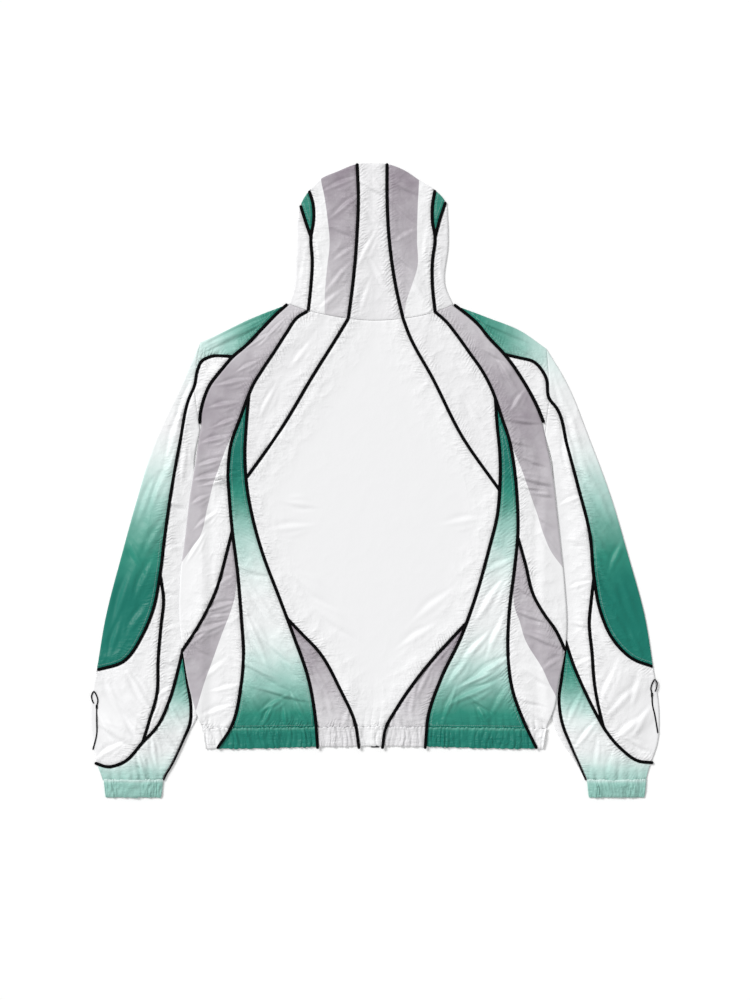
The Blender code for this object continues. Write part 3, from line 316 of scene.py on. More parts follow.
# Share of the green dye, and depth of the lavender, by height above the hem.
GREEN = {
    "flank": (
        (0, 0.98), (31, 0.92), (50, 0.82), (75, 0.57), (100, 0.39), (125, 0.26), (150, 0.12), (185, 0.03),
        (222, 0.02), (255, 0.10), (285, 0.22), (315, 0.34), (345, 0.50), (372, 0.74), (400, 0.92), (430, 1),
    ),
    "sleeve": (
        (120, 1.06), (200, 1.02), (237, 1), (267, 0.90), (297, 0.76), (327, 0.60), (357, 0.44), (387, 0.31),
        (417, 0.19), (447, 0.08), (480, 0.0), (540, 0.03), (570, 0.12), (608, 0.20),
    ),
    "wedge": (
        (-76, 0.44), (-48, 0.40), (-36, 0.32), (-21, 0.16), (-3, 0.04), (19, 0.03), (42, 0.12), (64, 0.32),
        (87, 0.54), (117, 0.80), (140, 0.95),
    ),
    "gusset": ((766, 0.98), (790, 0.90), (840, 0.72)),
}
LAVENDER = {
    "hood": ((640, 0.36), (660, 0.42), (700, 0.56), (740, 0.68), (800, 0.80), (877, 0.98)),
    "back_side": (
        (140, 0.54), (300, 0.56), (380, 0.62), (430, 0.68), (500, 0.84), (560, 0.76), (610, 0.58),
        (667, 0.48),
    ),
    "flank_low": ((31, 0.60), (110, 0.72), (220, 0.66), (326, 0.66)),
    "back_wedge": ((0, 0.22), (31, 0.28), (55, 0.40), (90, 0.58), (130, 0.76), (193, 0.95)),
}
YOKE_HEM, YOKE_RISE = 530.0, 62.0  # height at which the yoke's dye begins, and over which it fills
FAINT, HOOD_FAINT = 0.05, 0.11  # lavender mixed into the white panels beside the bands, and more of it into the hood's middle to darken it
# Along the yoke the dye fades from the neck to the shoulder's tip, by distance from the centre.
YOKE_FADE = ((120, 0.86), (160, 0.78), (190, 0.62), (215, 0.46), (240, 0.32), (256, 0.24), (272, 0.18))


# Lines in the plane.


def run_of(curve):
    """Distance along a line up to each of its points."""
    return np.concatenate([[0], np.cumsum(np.hypot(*np.diff(curve, axis=0).T))])


def smooth_line(points, pitch=LINE_PITCH):
    """A curve through the points, each span a cubic whose end slopes follow the neighbouring points,
    read at even steps along its length."""
    points = np.array(points, float)
    at = run_of(points)
    slope = np.gradient(points, at, axis=0)
    fine = np.linspace(0, at[-1], int(at[-1]) + 2)
    span = np.clip(np.searchsorted(at, fine, side="right") - 1, 0, len(points) - 2)
    width = (at[span + 1] - at[span])[:, None]
    t = (fine[:, None] - at[span][:, None]) / width
    curve = (
        (2 * t**3 - 3 * t**2 + 1) * points[span]
        + (t**3 - 2 * t**2 + t) * width * slope[span]
        + (3 * t**2 - 2 * t**3) * points[span + 1]
        + (t**3 - t**2) * width * slope[span + 1]
    )
    return even_steps(curve, pitch)


def even_steps(curve, pitch):
    steps = np.linspace(0, 1, max(2, round(run_of(curve)[-1] / pitch) + 1))
    return at_share(curve, steps)


def at_share(curve, share):
    """Points of a line at shares of its length."""
    along = run_of(curve)
    return np.stack([np.interp(share * along[-1], along, curve[:, k]) for k in (0, 1)], axis=-1)


def line(side, *names, table=SEAMS):
    """Seam lines of one side joined end to end, with X negative on the left (side -1)."""
    rows = []
    for name in names:
        column = 0 if side < 0 else 2
        found = [(side * row[column], row[column + 1]) for row in table[name]]
        rows += found if not rows else found[1:]
    return smooth_line(rows)


def across(name):
    return smooth_line(ACROSS[name])


def across_from_sides(name):
    """A line from its left half, read inwards, and its right half, read outwards."""
    left = [(-row[0], row[1]) for row in SEAMS[name]]
    right = [(row[2], row[3]) for row in reversed(SEAMS[name][:-1])]
    return smooth_line(left + right)


def normals(curve):
    """Mitred left-hand normals of a line: moving each point along its own gives a parallel line."""
    along = np.diff(curve, axis=0)
    along /= np.hypot(*along.T)[:, None]
    left = np.stack([-along[:, 1], along[:, 0]], axis=1)
    first, last = np.vstack([left[:1], left]), np.vstack([left, left[-1:]])
    middle = first + last
    return middle / np.maximum((middle * first).sum(axis=1), 0.5)[:, None]


def lengthened(curve, by=60.0):
    start, end = curve[0] - curve[1], curve[-1] - curve[-2]
    start, end = start / np.hypot(*start) * by, end / np.hypot(*end) * by
    return np.vstack([curve[0] + start, curve, curve[-1] + end])


def nearest(points, curve):
    """For each point, the run along a line to its nearest place, and the gap to it, positive on its left."""
    best = np.full(len(points), np.inf)
    run, gap = np.zeros(len(points)), np.zeros(len(points))
    starts = run_of(curve)
    for a, b, start in zip(curve[:-1], curve[1:], starts):
        step = b - a
        t = np.clip(((points - a) @ step) / (step @ step), 0, 1)
        off = points - a - t[:, None] * step
        away = np.hypot(*off.T)
        closer = away < best
        best[closer] = away[closer]
        run[closer] = start + t[closer] * np.hypot(*step)
        side = np.sign(step[0] * off[:, 1] - step[1] * off[:, 0])
        gap[closer] = (away * side)[closer]
    return run, gap


def turned(first, second):
    return first[..., 0] * second[..., 1] - first[..., 1] * second[..., 0]


def crossings(first, second):
    """Places where two lines cross: positions along the first and the second, and the points."""
    run, other = np.diff(first, axis=0)[:, None], np.diff(second, axis=0)[None]
    between = second[None, :-1] - first[:-1, None]
    turn = turned(run, other)
    turn = np.where(np.abs(turn) < 1e-9, 1e-9, turn)
    s, t = turned(between, other) / turn, turned(between, run) / turn
    i, j = np.nonzero((s >= 0) & (s <= 1) & (t >= 0) & (t <= 1))
    return i + s[i, j], j + t[i, j], first[i] + s[i, j][:, None] * run[i, 0]


def junction(first, second):
    """Where two seam lines meet, or come nearest to each other."""
    spread = np.hypot(*(first[:, None] - second[None]).transpose(2, 0, 1))
    i, j = np.unravel_index(spread.argmin(), spread.shape)
    near = (first[i] + second[j]) / 2
    met = crossings(first, second)[2]
    return met[np.hypot(*(met - near).T).argmin()] if len(met) else near


def cut_edges(sides):
    """The lines round a panel, each moved inwards by what the cloth keeps from its seam and cut where it
    crosses its neighbours. A side is (line, distance kept, how it is sewn)."""
    count = len(sides)
    corners = np.array([junction(sides[i - 1][0], sides[i][0]) for i in range(count)])
    inward = np.sign(turned(corners, np.roll(corners, -1, axis=0)).sum())
    edges = []
    for i, (seam, keep, _) in enumerate(sides):
        start = np.hypot(*(seam - corners[i]).T).argmin()
        end = np.hypot(*(seam - corners[(i + 1) % count]).T).argmin()
        turn = slice(None) if start <= end else slice(None, None, -1)
        kept = np.broadcast_to(keep, len(seam))[turn]
        edges.append(lengthened(seam[turn] + normals(seam[turn]) * inward * kept[:, None]))
    met = []
    for i in range(count):
        before, begin, points = crossings(edges[i - 1], edges[i])
        pick = np.hypot(*(points - corners[i]).T).argmin()
        met.append((before[pick], begin[pick], points[pick]))
    chains = []
    for i in range(count):
        _, begin, corner = met[i]
        finish, _, following = met[(i + 1) % count]
        between = edges[i][math.ceil(begin + 0.01) : math.floor(finish - 0.01) + 1]
        chains.append(np.vstack([corner, between, following]))
    return chains


# How the cloth lies.


def soft_step(t):
    t = np.clip(t, 0, 1)
    return t * t * (3 - 2 * t)


SIDES = {-1: "left", 1: "right"}
UNDERARM = {side: line(side, "underarm") for side in SIDES}
BODY_EDGE = {side: line(side, "body_edge") for side in SIDES}
OUTLINE = [across_from_sides("hood_edge"), across("hem_end")]
OUTLINE += [line(side, name) for side in SIDES for name in ("shoulder", "sleeve_edge", "body_edge")]
OUTLINE += [curve[curve[:, 1] < SLEEVE_LEAVES] for curve in UNDERARM.values()]
OUTLINE = [even_steps(curve, OUTLINE_PITCH) for curve in OUTLINE]


def reach_at(lines, points):
    """Distance from the centre line of each side's line at the height of each point."""
    found = np.zeros(len(points))
    for side, curve in lines.items():
        order = np.argsort(curve[:, 1])
        across_x = np.interp(points[:, 1], curve[order, 1], np.abs(curve[order, 0]))
        found = np.where(np.sign(points[:, 0]) == side, across_x, found)
    return found


def over_sleeve(points):
    """Rise of the body over the hidden edge of a sleeve, from the underarm down to the hip."""
    outwards = np.abs(points[:, 0]) - reach_at(UNDERARM, points) + STACK_SHOULDER
    beside = soft_step(1 + outwards / STACK_RAMP)
    low, high = STACK_RISES
    along = soft_step((points[:, 1] - HEM_HEIGHT) / low) * soft_step((STACK_TOP - points[:, 1]) / high)
    return SLEEVE_STACK * beside * along


def rows_near(points, table, reach):
    """The rows of a table of folds whose middle is within reach of the points' box."""
    low, high = points.min(axis=0) - reach, points.max(axis=0) + reach
    return [row for row in table if low[0] < row[0] < high[0] and low[1] < row[1] < high[1]]


def folds(points):
    """The solids' folds: each a round hump, long in its own direction."""
    total = np.zeros(len(points))
    for x, y, turn, length, width, height in rows_near(points, FOLDS, FOLD_NEAR):
        c, s = math.cos(math.radians(turn)), math.sin(math.radians(turn))
        along = (points[:, 0] - x) * c + (points[:, 1] - y) * s
        away = (points[:, 1] - y) * c - (points[:, 0] - x) * s
        total += height * np.exp(-((2.2 * along / length) ** 2) - (2.0 * away / width) ** 2)
    return total


def creases(points):
    """Creases of the thin cloth: each a ridge with a steep side, a trough beside it and a weaker ridge
    beyond, bent along its length and narrowing to both ends. Its height falls off as a bell along it; across
    it, each ridge and trough is a bell."""
    total = np.zeros(len(points))
    for x, y, turn, length, width, height, bend in rows_near(points, CREASES, CREASE_NEAR):
        c, s = math.cos(math.radians(turn)), math.sin(math.radians(turn))
        along = ((points[:, 0] - x) * c + (points[:, 1] - y) * s) / length
        fall = np.exp(-((2.2 * along) ** 2))
        away = ((points[:, 1] - y) * c - (points[:, 0] - x) * s - bend * along * abs(along)) / width
        away = away / (0.45 + 0.55 * fall)
        ridge, trough = np.exp(-((2.2 * away) ** 2)), np.exp(-((2.6 * (away - 0.62)) ** 2))
        beyond = np.exp(-((2.8 * (away + 0.95)) ** 2)) * np.exp(-((3.1 * (along - 0.12)) ** 2))
        total += height * (fall * (ridge - 0.75 * trough) + 0.5 * beyond)
    return CREASE_DEPTH * total


def free_of_edges(points):
    """Distance to the jacket's outline."""
    return np.min([np.abs(nearest(points, curve)[1]) for curve in OUTLINE], axis=0)


def body_upper(points):
    free = free_of_edges(points)
    rise = soft_step(free / LOFT_REACH) * LOFT + soft_step(free / FOLD_REACH) * folds(points)
    return UPPER + rise + over_sleeve(points)


def press(points):
    """How freely a sleeve stands up: pressed flat under the body and close beside it, free further out."""
    out = np.abs(points[:, 0]) - reach_at(BODY_EDGE, points) - BESIDE_BODY
    low, high = COVERED
    away = np.maximum(low - points[:, 1], points[:, 1] - high)
    return soft_step(np.maximum(out, away) / PRESS_RAMP)


def sleeve_top(points):
    return UPPER + (body_upper(points) - over_sleeve(points) - UPPER) * press(points)


def body_lower(points):
    return over_sleeve(points)


def flat_lower(points):
    return np.zeros(len(points))


# How the cloth is sewn along its edges.
# Columns: depth and width of the seam's dip, then height, reach, pitch and slant of its puckers.
SEWN = {
    "piped": (0.9, 1.8, 1.15, 10.0, 7.4, 0.5),
    "fine": (0.9, 1.8, 1.25, 18.0, 6.4, 0.9),
    "smooth": (0.8, 1.6, 0.50, 7.5, 8.2, 0.3),
    "plain": (0.6, 1.3, 0.30, 5.0, 7.4, 0.0),
    "casing": (0.5, 2.0, 3.0, 19.0, 10.6, 0.12),
    "cuffed": (0.5, 2.4, 5.0, 27.0, 14.5, 0.10),
}
EDGE_ROLL = 2.6  # width over which a free edge rounds down to the layer below
CLEARLY = 3.5, 4.0  # a seam is clearly the nearest from the first by the second past it
STITCHED = ("piped", "fine", "smooth", "casing", "cuffed")


def puckers(run, gap, sewn, seed):
    """Puckers across a seam: round ridges with narrow valleys, warped and of uneven strength, which die
    away from it."""
    _, _, height, reach, pitch, slant = sewn
    at = run + slant * gap + 2.1 * np.sin(run / 13 + seed) + 1.2 * np.sin(run / 5.9 + 2 * seed)
    strength = 0.35 + 0.65 * (0.5 + 0.5 * np.sin(run / 19 + 3 * seed)) * (0.7 + 0.3 * np.sin(run / 7.3))
    wave = np.abs(np.sin(math.pi * at / pitch)) ** 0.7 - 0.65
    length = reach * (0.75 + 0.45 * np.sin(run / 9.7 + 5 * seed) * np.sin(run / 23 + seed))
    return height * strength * wave * np.exp(-((gap / length) ** 1.3))


def sewing(points, edges):
    """Height lost in the seams' dips and at the free edges and gained in the puckers, with marks for the
    material: the gap to the nearest stitched seam, the run along it, and how clearly it is the nearest."""
    dip, roll, total = (np.zeros(len(points)) for _ in range(3))
    seam_gap, second = np.full(len(points), FAR), np.full(len(points), 1.5 * FAR)
    seam_run = np.zeros(len(points))
    for chain, kind in edges:
        if kind == "inner":
            continue
        run, gap = nearest(points, chain)
        gap = np.abs(gap)
        if kind == "free":
            near = 1 - np.clip(gap / EDGE_ROLL, 0, 1)
            roll = np.maximum(roll, (WALL + GAP) * (1 - np.sqrt(1 - near**2)))
            continue
        sewn = SEWN[kind]
        dip = np.maximum(dip, sewn[0] * np.exp(-((gap / sewn[1]) ** 2)))
        total += puckers(run, gap, sewn, 0.37 * (chain[0].sum() + chain[-1, 0]))
        if kind in STITCHED:
            closer = gap < seam_gap
            second = np.where(closer, seam_gap, np.minimum(second, gap))
            seam_gap[closer], seam_run[closer] = gap[closer], run[closer]
    clear = soft_step((second - seam_gap - CLEARLY[0]) / CLEARLY[1])
    return total - np.maximum(dip, roll), {"seam_gap": seam_gap, "seam_run": seam_run, "clear": clear}


# Surfaces.


def spread(length, count):
    """Shares along a length: closer together near both ends, even in between. One row for each length."""
    length = np.maximum(np.atleast_1d(length), 4 * EDGE_STEPS[-1])[:, None]
    near = EDGE_STEPS / length
    rest = 1 - 2 * near[:, -1:]
    between = near[:, -1:] + rest * np.linspace(0, 1, count + 1)[None, 1:-1]
    return np.concatenate([near, between, 1 - near[:, ::-1]], axis=1)


def patch(start, right, end, left, steps):
    """A surface between four lines: the one ruled from left to right, plus the one ruled from start to end,
    less the one ruled between the corners. Start and end run from left to right, the others downwards."""
    along, over = steps
    length = max(run_of(left)[-1], run_of(right)[-1])
    v = spread(length, max(3, round((length - EDGE_BOTH) / along)))[0]
    a, b = at_share(left, v), at_share(right, v)
    width = np.hypot(*(b - a).T)
    u = spread(width, max(2, round((width.max() - EDGE_BOTH) / over)))[..., None]
    v = v[:, None, None]
    first, last = at_share(start, u[..., 0]), at_share(end, u[..., 0])
    corners = (1 - v) * ((1 - u) * start[0] + u * start[-1]) + v * ((1 - u) * end[0] + u * end[-1])
    return (1 - u) * a[:, None] + u * b[:, None] + (1 - v) * first + v * last - corners


def quads(rows, columns, wrap=False):
    """The faces of a grid: each has its first corner at a point, and the others one row and column on."""
    row = columns * np.arange(rows - 1)[:, None]
    column = np.arange(columns if wrap else columns - 1)[None]
    below, after = row + columns, (column + 1) % columns
    corners = [row + column, below + column, below + after, row + after]
    return np.stack(np.broadcast_arrays(*corners), axis=-1).reshape(-1, 4)


def made(name, grids, finish, node, marks=None, wrap=False, flip=False, shell=SHELL, rim_only=False):
    """A piece from grids of points in millimetres (rows, columns, 3), which replaces a node. Marks are the
    attributes that its material reads, each one value for each point."""
    points = np.concatenate([grid.reshape(-1, 3) for grid in grids])
    starts = np.cumsum([0] + [grid.shape[0] * grid.shape[1] for grid in grids])
    faces = np.concatenate([quads(*grid.shape[:2], wrap) + start for grid, start in zip(grids, starts)])
    points = (points - [*MIDDLE, 0]) * MM
    mesh = bpy.data.meshes.new(name)
    mesh.from_pydata(points.tolist(), [], (faces[:, ::-1] if flip else faces).tolist())
    for mark, values in (marks or {}).items():
        mesh.attributes.new(mark, "FLOAT", "POINT").data.foreach_set("value", values.astype(np.float32))
    sewn = bmesh.new()
    sewn.from_mesh(mesh)
    bmesh.ops.remove_doubles(sewn, verts=sewn.verts, dist=0.02 * MM)
    sewn.to_mesh(mesh)
    sewn.free()
    mesh.polygons.foreach_set("use_smooth", [True] * len(mesh.polygons))
    mesh.materials.append(finish)
    piece = bpy.data.objects.new(name, mesh)
    bpy.context.scene.collection.objects.link(piece)
    if shell:
        wall = piece.modifiers.new("cloth", "SOLIDIFY")
        wall.thickness = shell * MM
        wall.offset = -1
        wall.use_rim_only = rim_only
    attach(piece, "root")
    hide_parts(node)
    return piece


# Colour of the cloth: the share of green dye, the gap inside a lavender print's border, and its depth.


def by_height(points, table):
    return np.interp(points[:, 1], *np.array(table).T)


def plain_white(points):
    return np.zeros(len(points)), np.full(len(points), -FAR), np.zeros(len(points))


def all_green(name):
    return lambda points: (by_height(points, GREEN[name]), *plain_white(points)[1:])


def inside_print(points):
    return np.full(len(points), FAR)


def shaded(depth):
    """White cloth with a little of the lavender dye all over."""
    return lambda points: (plain_white(points)[0], inside_print(points), np.full(len(points), depth))


def all_lavender(name):
    return lambda points: (plain_white(points)[0], inside_print(points), by_height(points, LAVENDER[name]))


def printed_lavender(name, side, beyond):
    """Lavender on one side of the print's border: beyond is 1 on the border's left-hand side, else -1."""
    border = line(side, name, table=PRINTS)
    return lambda points: (
        plain_white(points)[0],
        nearest(points, border)[1] * beyond,
        by_height(points, LAVENDER[name]),
    )


def yoke_green(points):
    share = np.interp(np.abs(points[:, 0]), *np.array(YOKE_FADE).T)
    return (share * soft_step((points[:, 1] - YOKE_HEM) / YOKE_RISE), *plain_white(points)[1:])


def piped(seam, kind="piped", keep=PIPED):
    """A side of a panel: its line, what the cloth keeps from it, and how it is sewn."""
    return seam, keep, kind


def plain(seam, kind="plain"):
    return seam, PLAIN, kind


def free(edge, kind="free"):
    return edge, 0, kind


def cut_panel(start, right, end, left):
    """The edges of a panel, each with how it is sewn, and the four lines that its surface lies between.
    The sides follow each other round the panel: start, right, end, left."""
    groups = (start, right, end, left)
    sides = [side for group in groups for side in group]
    chains = cut_edges(sides)
    lines, index = [], 0
    for group in groups:
        found = chains[index : index + len(group)]
        lines.append(np.vstack(found) if found else chains[index % len(chains)][:1].repeat(2, axis=0))
        index += len(group)
    first, down, last, up = lines
    return [(chain, side[2]) for chain, side in zip(chains, sides)], [(first, down, last[::-1], up[::-1])]


def cloth(node, cut, height, dye, steps=(ALONG, ACROSS_STEP), facing=1):
    """A finished panel in place of its solid. The height of its outer face is that of its underside plus the
    wall, the creases and the sewing. A hidden panel faces down, a little above what it rests on, and its
    seams are pressed in from below."""
    edges, patches = cut
    plans = [patch(*lines, steps) for lines in patches]
    grids, marks, area, widths, lengths = [], [], 0.0, [], []
    for plan in plans:
        points = plan.reshape(-1, 2)
        sewn, seams = sewing(points, edges)
        if facing > 0:
            lift = creases(points) * soft_step(free_of_edges(points) / CREASE_RIM) + sewn
            z = height(points) + WALL + np.maximum(lift, -DEEPEST)
        else:
            z = height(points) + HIDDEN_SKIN - 0.8 * sewn
        grids.append(np.column_stack([points, z]).reshape(*plan.shape[:2], 3))
        green, lavender, depth = dye(points)
        marks.append({"green": green, "lavender": lavender, "depth": depth, **seams})
        cell = turned(plan[1:, 1:] - plan[:-1, :-1], plan[1:, :-1] - plan[:-1, 1:])
        area += abs(cell.sum()) / 2
        widths.append(np.hypot(*(plan[:, -1] - plan[:, 0]).T).max())
        lengths.append(max(run_of(plan[:, 0])[-1], run_of(plan[:, -1])[-1]))
    turned_over = cell.sum() * facing > 0
    merged = {mark: np.concatenate([part[mark] for part in marks]) for mark in marks[0]}
    piece = made(f"{node}_cloth", grids, NYLON, node, merged, flip=turned_over, rim_only=True)
    width, length = max(widths), max(lengths)
    width = max(width, area / length * (1 + SPARE))
    cut_area = min(max(area, LEAST_CUT * width * length), width * length) * MM * MM
    width * MM


# Finishes.


def colour(red, green, blue):
    """A screen colour, 0 to 255, as the linear colour that a shader takes."""
    part = np.array([red, green, blue]) / 255
    linear = np.where(part <= 0.04045, part / 12.92, ((part + 0.055) / 1.055) ** 2.4)
    return (*linear.tolist(), 1.0)


class Wire:
    """A socket in a finish. Sums and products of wires and numbers make the Math nodes."""

    def __init__(self, finish, socket):
        self.finish, self.socket = finish, socket

    def _math(self, operation, *values):
        inputs = dict(enumerate(values))
        return self.finish.node("ShaderNodeMath", {"operation": operation}, inputs)

    def __add__(self, other):
        return self._math("ADD", self, other)

    def __radd__(self, other):
        return self._math("ADD", other, self)

    def __sub__(self, other):
        return self._math("SUBTRACT", self, other)

    def __rsub__(self, other):
        return self._math("SUBTRACT", other, self)

    def __mul__(self, other):
        return self._math("MULTIPLY", self, other)

    def __rmul__(self, other):
        return self._math("MULTIPLY", other, self)

    def __truediv__(self, other):
        return self._math("DIVIDE", self, other)

    def size(self):
        return self._math("ABSOLUTE", self)

    def below(self, other):
        return self._math("LESS_THAN", self, other)

    def fraction(self):
        return self._math("FRACT", self)

    def wave(self):
        return self._math("SINE", self)

    def between(self, low, high):
        """0 up to low and 1 from high, smooth in between."""
        inputs = {0: self, 1: low, 2: high, 3: 0.0, 4: 1.0}
        return self.finish.node("ShaderNodeMapRange", {"interpolation_type": "SMOOTHSTEP"}, inputs)


class Finish:
    """A material, built node by node."""

    def __init__(self, name):
        self.material = bpy.data.materials.new(name)
        self.material.use_nodes = True
        self.tree = self.material.node_tree
        self.tree.nodes.clear()

    def node(self, kind, settings=None, inputs=None, output=0):
        """Any node, from its type, its settings and the values or wires of its inputs."""
        made_node = self.tree.nodes.new(kind)
        for key, value in (settings or {}).items():
            setattr(made_node, key, value)
        for key, value in (inputs or {}).items():
            socket = made_node.inputs[key]
            if isinstance(value, Wire):
                self.tree.links.new(value.socket, socket)
            else:
                socket.default_value = value
        return Wire(self, made_node.outputs[output]) if made_node.outputs else None

    def mark(self, name):
        """One of the mesh's own attributes."""
        return self.node("ShaderNodeAttribute", {"attribute_name": name}, output="Fac")

    def place(self, axis=None):
        """Where a point lies in its piece, or one part of that."""
        at = self.node("ShaderNodeTexCoord", output="Object")
        return at if axis is None else self.node("ShaderNodeSeparateXYZ", inputs={0: at}, output=axis)

    def noise(self, scale, detail=2.0, roughness=0.5, kind="FBM", stretch=None, **more):
        at = self.place()
        if stretch is not None:
            at = self.node("ShaderNodeMapping", inputs={"Vector": at, **stretch})
        inputs = {"Vector": at, "Scale": scale, "Detail": detail, "Roughness": roughness, **more}
        return self.node("ShaderNodeTexNoise", {"noise_type": kind}, inputs)

    def blend(self, first, second, share):
        """Two colours, mixed by a share from 0 to 1."""
        inputs = {0: share, 6: first, 7: second}
        return self.node("ShaderNodeMix", {"data_type": "RGBA"}, inputs, output=2)

    def ramp(self, share, stops):
        """A colour read from stops of (position, colour)."""
        wire = self.node("ShaderNodeValToRGB", inputs={0: share})
        scale = wire.socket.node.color_ramp
        while len(scale.elements) < len(stops):
            scale.elements.new(0.5)
        for element, (position, tint) in zip(scale.elements, stops):
            element.position, element.color = position, tint
        return wire

    def bumped(self, height, strength=1.0):
        inputs = {"Height": height, "Distance": 1.0, "Strength": strength}
        return self.node("ShaderNodeBump", inputs=inputs)

    def surface(self, **inputs):
        """The shader, with its named inputs, on the material's output."""
        inputs = {name.replace("_", " "): value for name, value in inputs.items()}
        shader = self.node("ShaderNodeBsdfPrincipled", inputs=inputs)
        self.node("ShaderNodeOutputMaterial", inputs={"Surface": shader})
        return self.material


WHITE_CLOTH = colour(239, 239, 240)
GREEN_DYE = (
    (0.0, WHITE_CLOTH),
    (0.12, colour(224, 235, 233)),
    (0.26, colour(191, 219, 213)),
    (0.42, colour(151, 196, 186)),
    (0.60, colour(99, 163, 148)),
    (0.80, colour(40, 137, 118)),
    (1.0, colour(0, 116, 101)),
)
LAVENDER_DYE = colour(146, 136, 146)
STITCH_GAP = 3.3  # from the seam to its row of stitches
STITCH_LENGTH = 2.9


def nylon():
    """Light plain-woven nylon: crinkled, softly glossy, dyed and printed by the marks in each mesh. Fine
    ripples of the bump follow the seams' own runs, and die away from them."""
    skin = Finish("printed_nylon")
    blotch, streak = skin.noise(26.0, 3.0), skin.noise(52.0, 4.0, 0.6)
    green = skin.mark("green")
    share = green + ((blotch - 0.5) * 0.12 + (streak - 0.5) * 0.10) * green.between(0.0, 0.3)
    dyed = skin.ramp(share, GREEN_DYE)
    inside = skin.mark("lavender").between(-0.35, 0.35)
    # The lavender's depth is mottled by the same two noises: painted light and shade of the crinkles.
    depth = skin.mark("depth") * (0.70 + 0.26 * blotch + 0.34 * streak)
    tinted = skin.blend(dyed, LAVENDER_DYE, inside * depth)
    gap, run = skin.mark("seam_gap"), skin.mark("seam_run")
    # A row of stitches beside each stitched seam, blended paler: the thread's own tone and a painted
    # highlight of the seam's ridge.
    row = (gap - STITCH_GAP).size().below(0.34)
    stitch = row * (run / STITCH_LENGTH).fraction().below(0.66)
    stitch_and_highlight = skin.blend(tinted, WHITE_CLOTH, stitch * 0.22)

    free = 1.0 - 0.88 * gap.between(*OPEN_CLOTH)
    sharp = skin.noise(30.0, 3.0, 0.55, "RIDGED_MULTIFRACTAL", Offset=0.9, Gain=1.6)
    crinkle = skin.noise(105.0, 3.0, 0.55)
    fine = skin.noise(340.0, 2.0, 0.5)
    turns = (run + 0.6 * gap) / RIPPLE_PITCH + 3.4 * skin.noise(22.0, 2.0) + 1.9 * crinkle
    near = (1.0 - (gap + 16.0 * (streak - 0.5)).between(*RIPPLE_REACH)) * skin.mark("clear")
    near = near * (0.15 + 0.85 * blotch.between(0.40, 0.62)) * crinkle.between(0.25, 0.55)
    ripple = (turns * (2 * math.pi)).wave() * near
    stretch = {"Scale": (1.0, 4.6, 1.0), "Rotation": (0.0, 0.0, 0.2)}
    across_seams = skin.noise(46.0, 3.0, 0.6, stretch=stretch)
    drawn = across_seams * (1.0 - gap.between(*DRAWN_REACH)) * (0.35 + 0.65 * blotch.between(0.36, 0.6))
    weave = (skin.place("X") * WEAVE_TURNS).wave() * (skin.place("Y") * WEAVE_TURNS).wave()
    relief = (0.00088 * sharp + 0.00096 * crinkle) * free + 0.00042 * ripple + 0.0024 * drawn
    relief = relief + 0.00007 * fine + 0.000006 * weave - 0.00010 * stitch - 0.00006 * row
    return skin.surface(
        Base_Color=stitch_and_highlight,
        Roughness=0.40 + 0.12 * crinkle,
        Specular_IOR_Level=0.36,
        Normal=skin.bumped(relief, strength=0.9),
    )


OPEN_CLOTH = 14.0, 55.0  # distances from a seam over which the cloth comes to lie smooth
RIPPLE_PITCH = 5.2
RIPPLE_REACH = 1.0, 19.0
DRAWN_REACH = 3.0, 26.0
WEAVE_TURNS = 2 * math.pi / 0.0007  # threads 0.35 mm apart
COIL_TURNS = 2 * math.pi / 0.0016  # teeth 1.6 mm apart
RIB_TURNS = 2 * math.pi / 1.1  # ribs 1.1 mm apart


def black_cord():
    """Black piping: a tight ribbed weave over a cord, dull, its black a little uneven."""
    trim = Finish("black_piping")
    grain = trim.noise(420.0, 2.0, 0.6)
    ribs = (trim.mark("run") * RIB_TURNS).wave()
    shade = trim.blend(colour(2, 2, 3), colour(10, 10, 12), grain.between(0.35, 0.75))
    relief = 0.00003 * ribs + 0.00006 * grain
    return trim.surface(
        Base_Color=shade,
        Roughness=0.52 + 0.16 * grain,
        Specular_IOR_Level=0.05,
        Normal=trim.bumped(relief),
    )


def zip_coil():
    """The front zip: black polyester teeth across the run, with a faint shine."""
    coil = Finish("black_zip_coil")
    teeth = (coil.place("Y") * COIL_TURNS).wave()
    grain = coil.noise(600.0, 2.0)
    return coil.surface(
        Base_Color=coil.blend(colour(14, 14, 16), colour(40, 40, 44), grain * 0.6),
        Roughness=0.38 + 0.2 * grain,
        Normal=coil.bumped(0.00012 * teeth + 0.00004 * grain),
    )


NYLON, PIPING, ZIP = nylon(), black_cord(), zip_coil()


# The panels.


def hood(side, tag):
    crown, rib, gusset = (line(side, name) for name in ("hood_crown", "hood_side", "hood_gusset"))
    rim, sewn_neck = free(line(side, "hood_edge")), plain(line(side, "neck"))
    cut = cut_panel([rim], [piped(crown)], [sewn_neck], [piped(rib)])
    band = printed_lavender("hood", side, -side)
    cloth(f"hood_side_{tag}", cut, body_upper, band)
    cut = cut_panel([rim], [piped(rib)], [], [piped(gusset)])
    cloth(f"hood_gusset_{tag}", cut, body_upper, all_green("gusset"))
    cut = cut_panel([], [piped(gusset), piped(rib)], [sewn_neck], [rim])
    cloth(f"hood_outer_{tag}", cut, body_upper, shaded(FAINT))


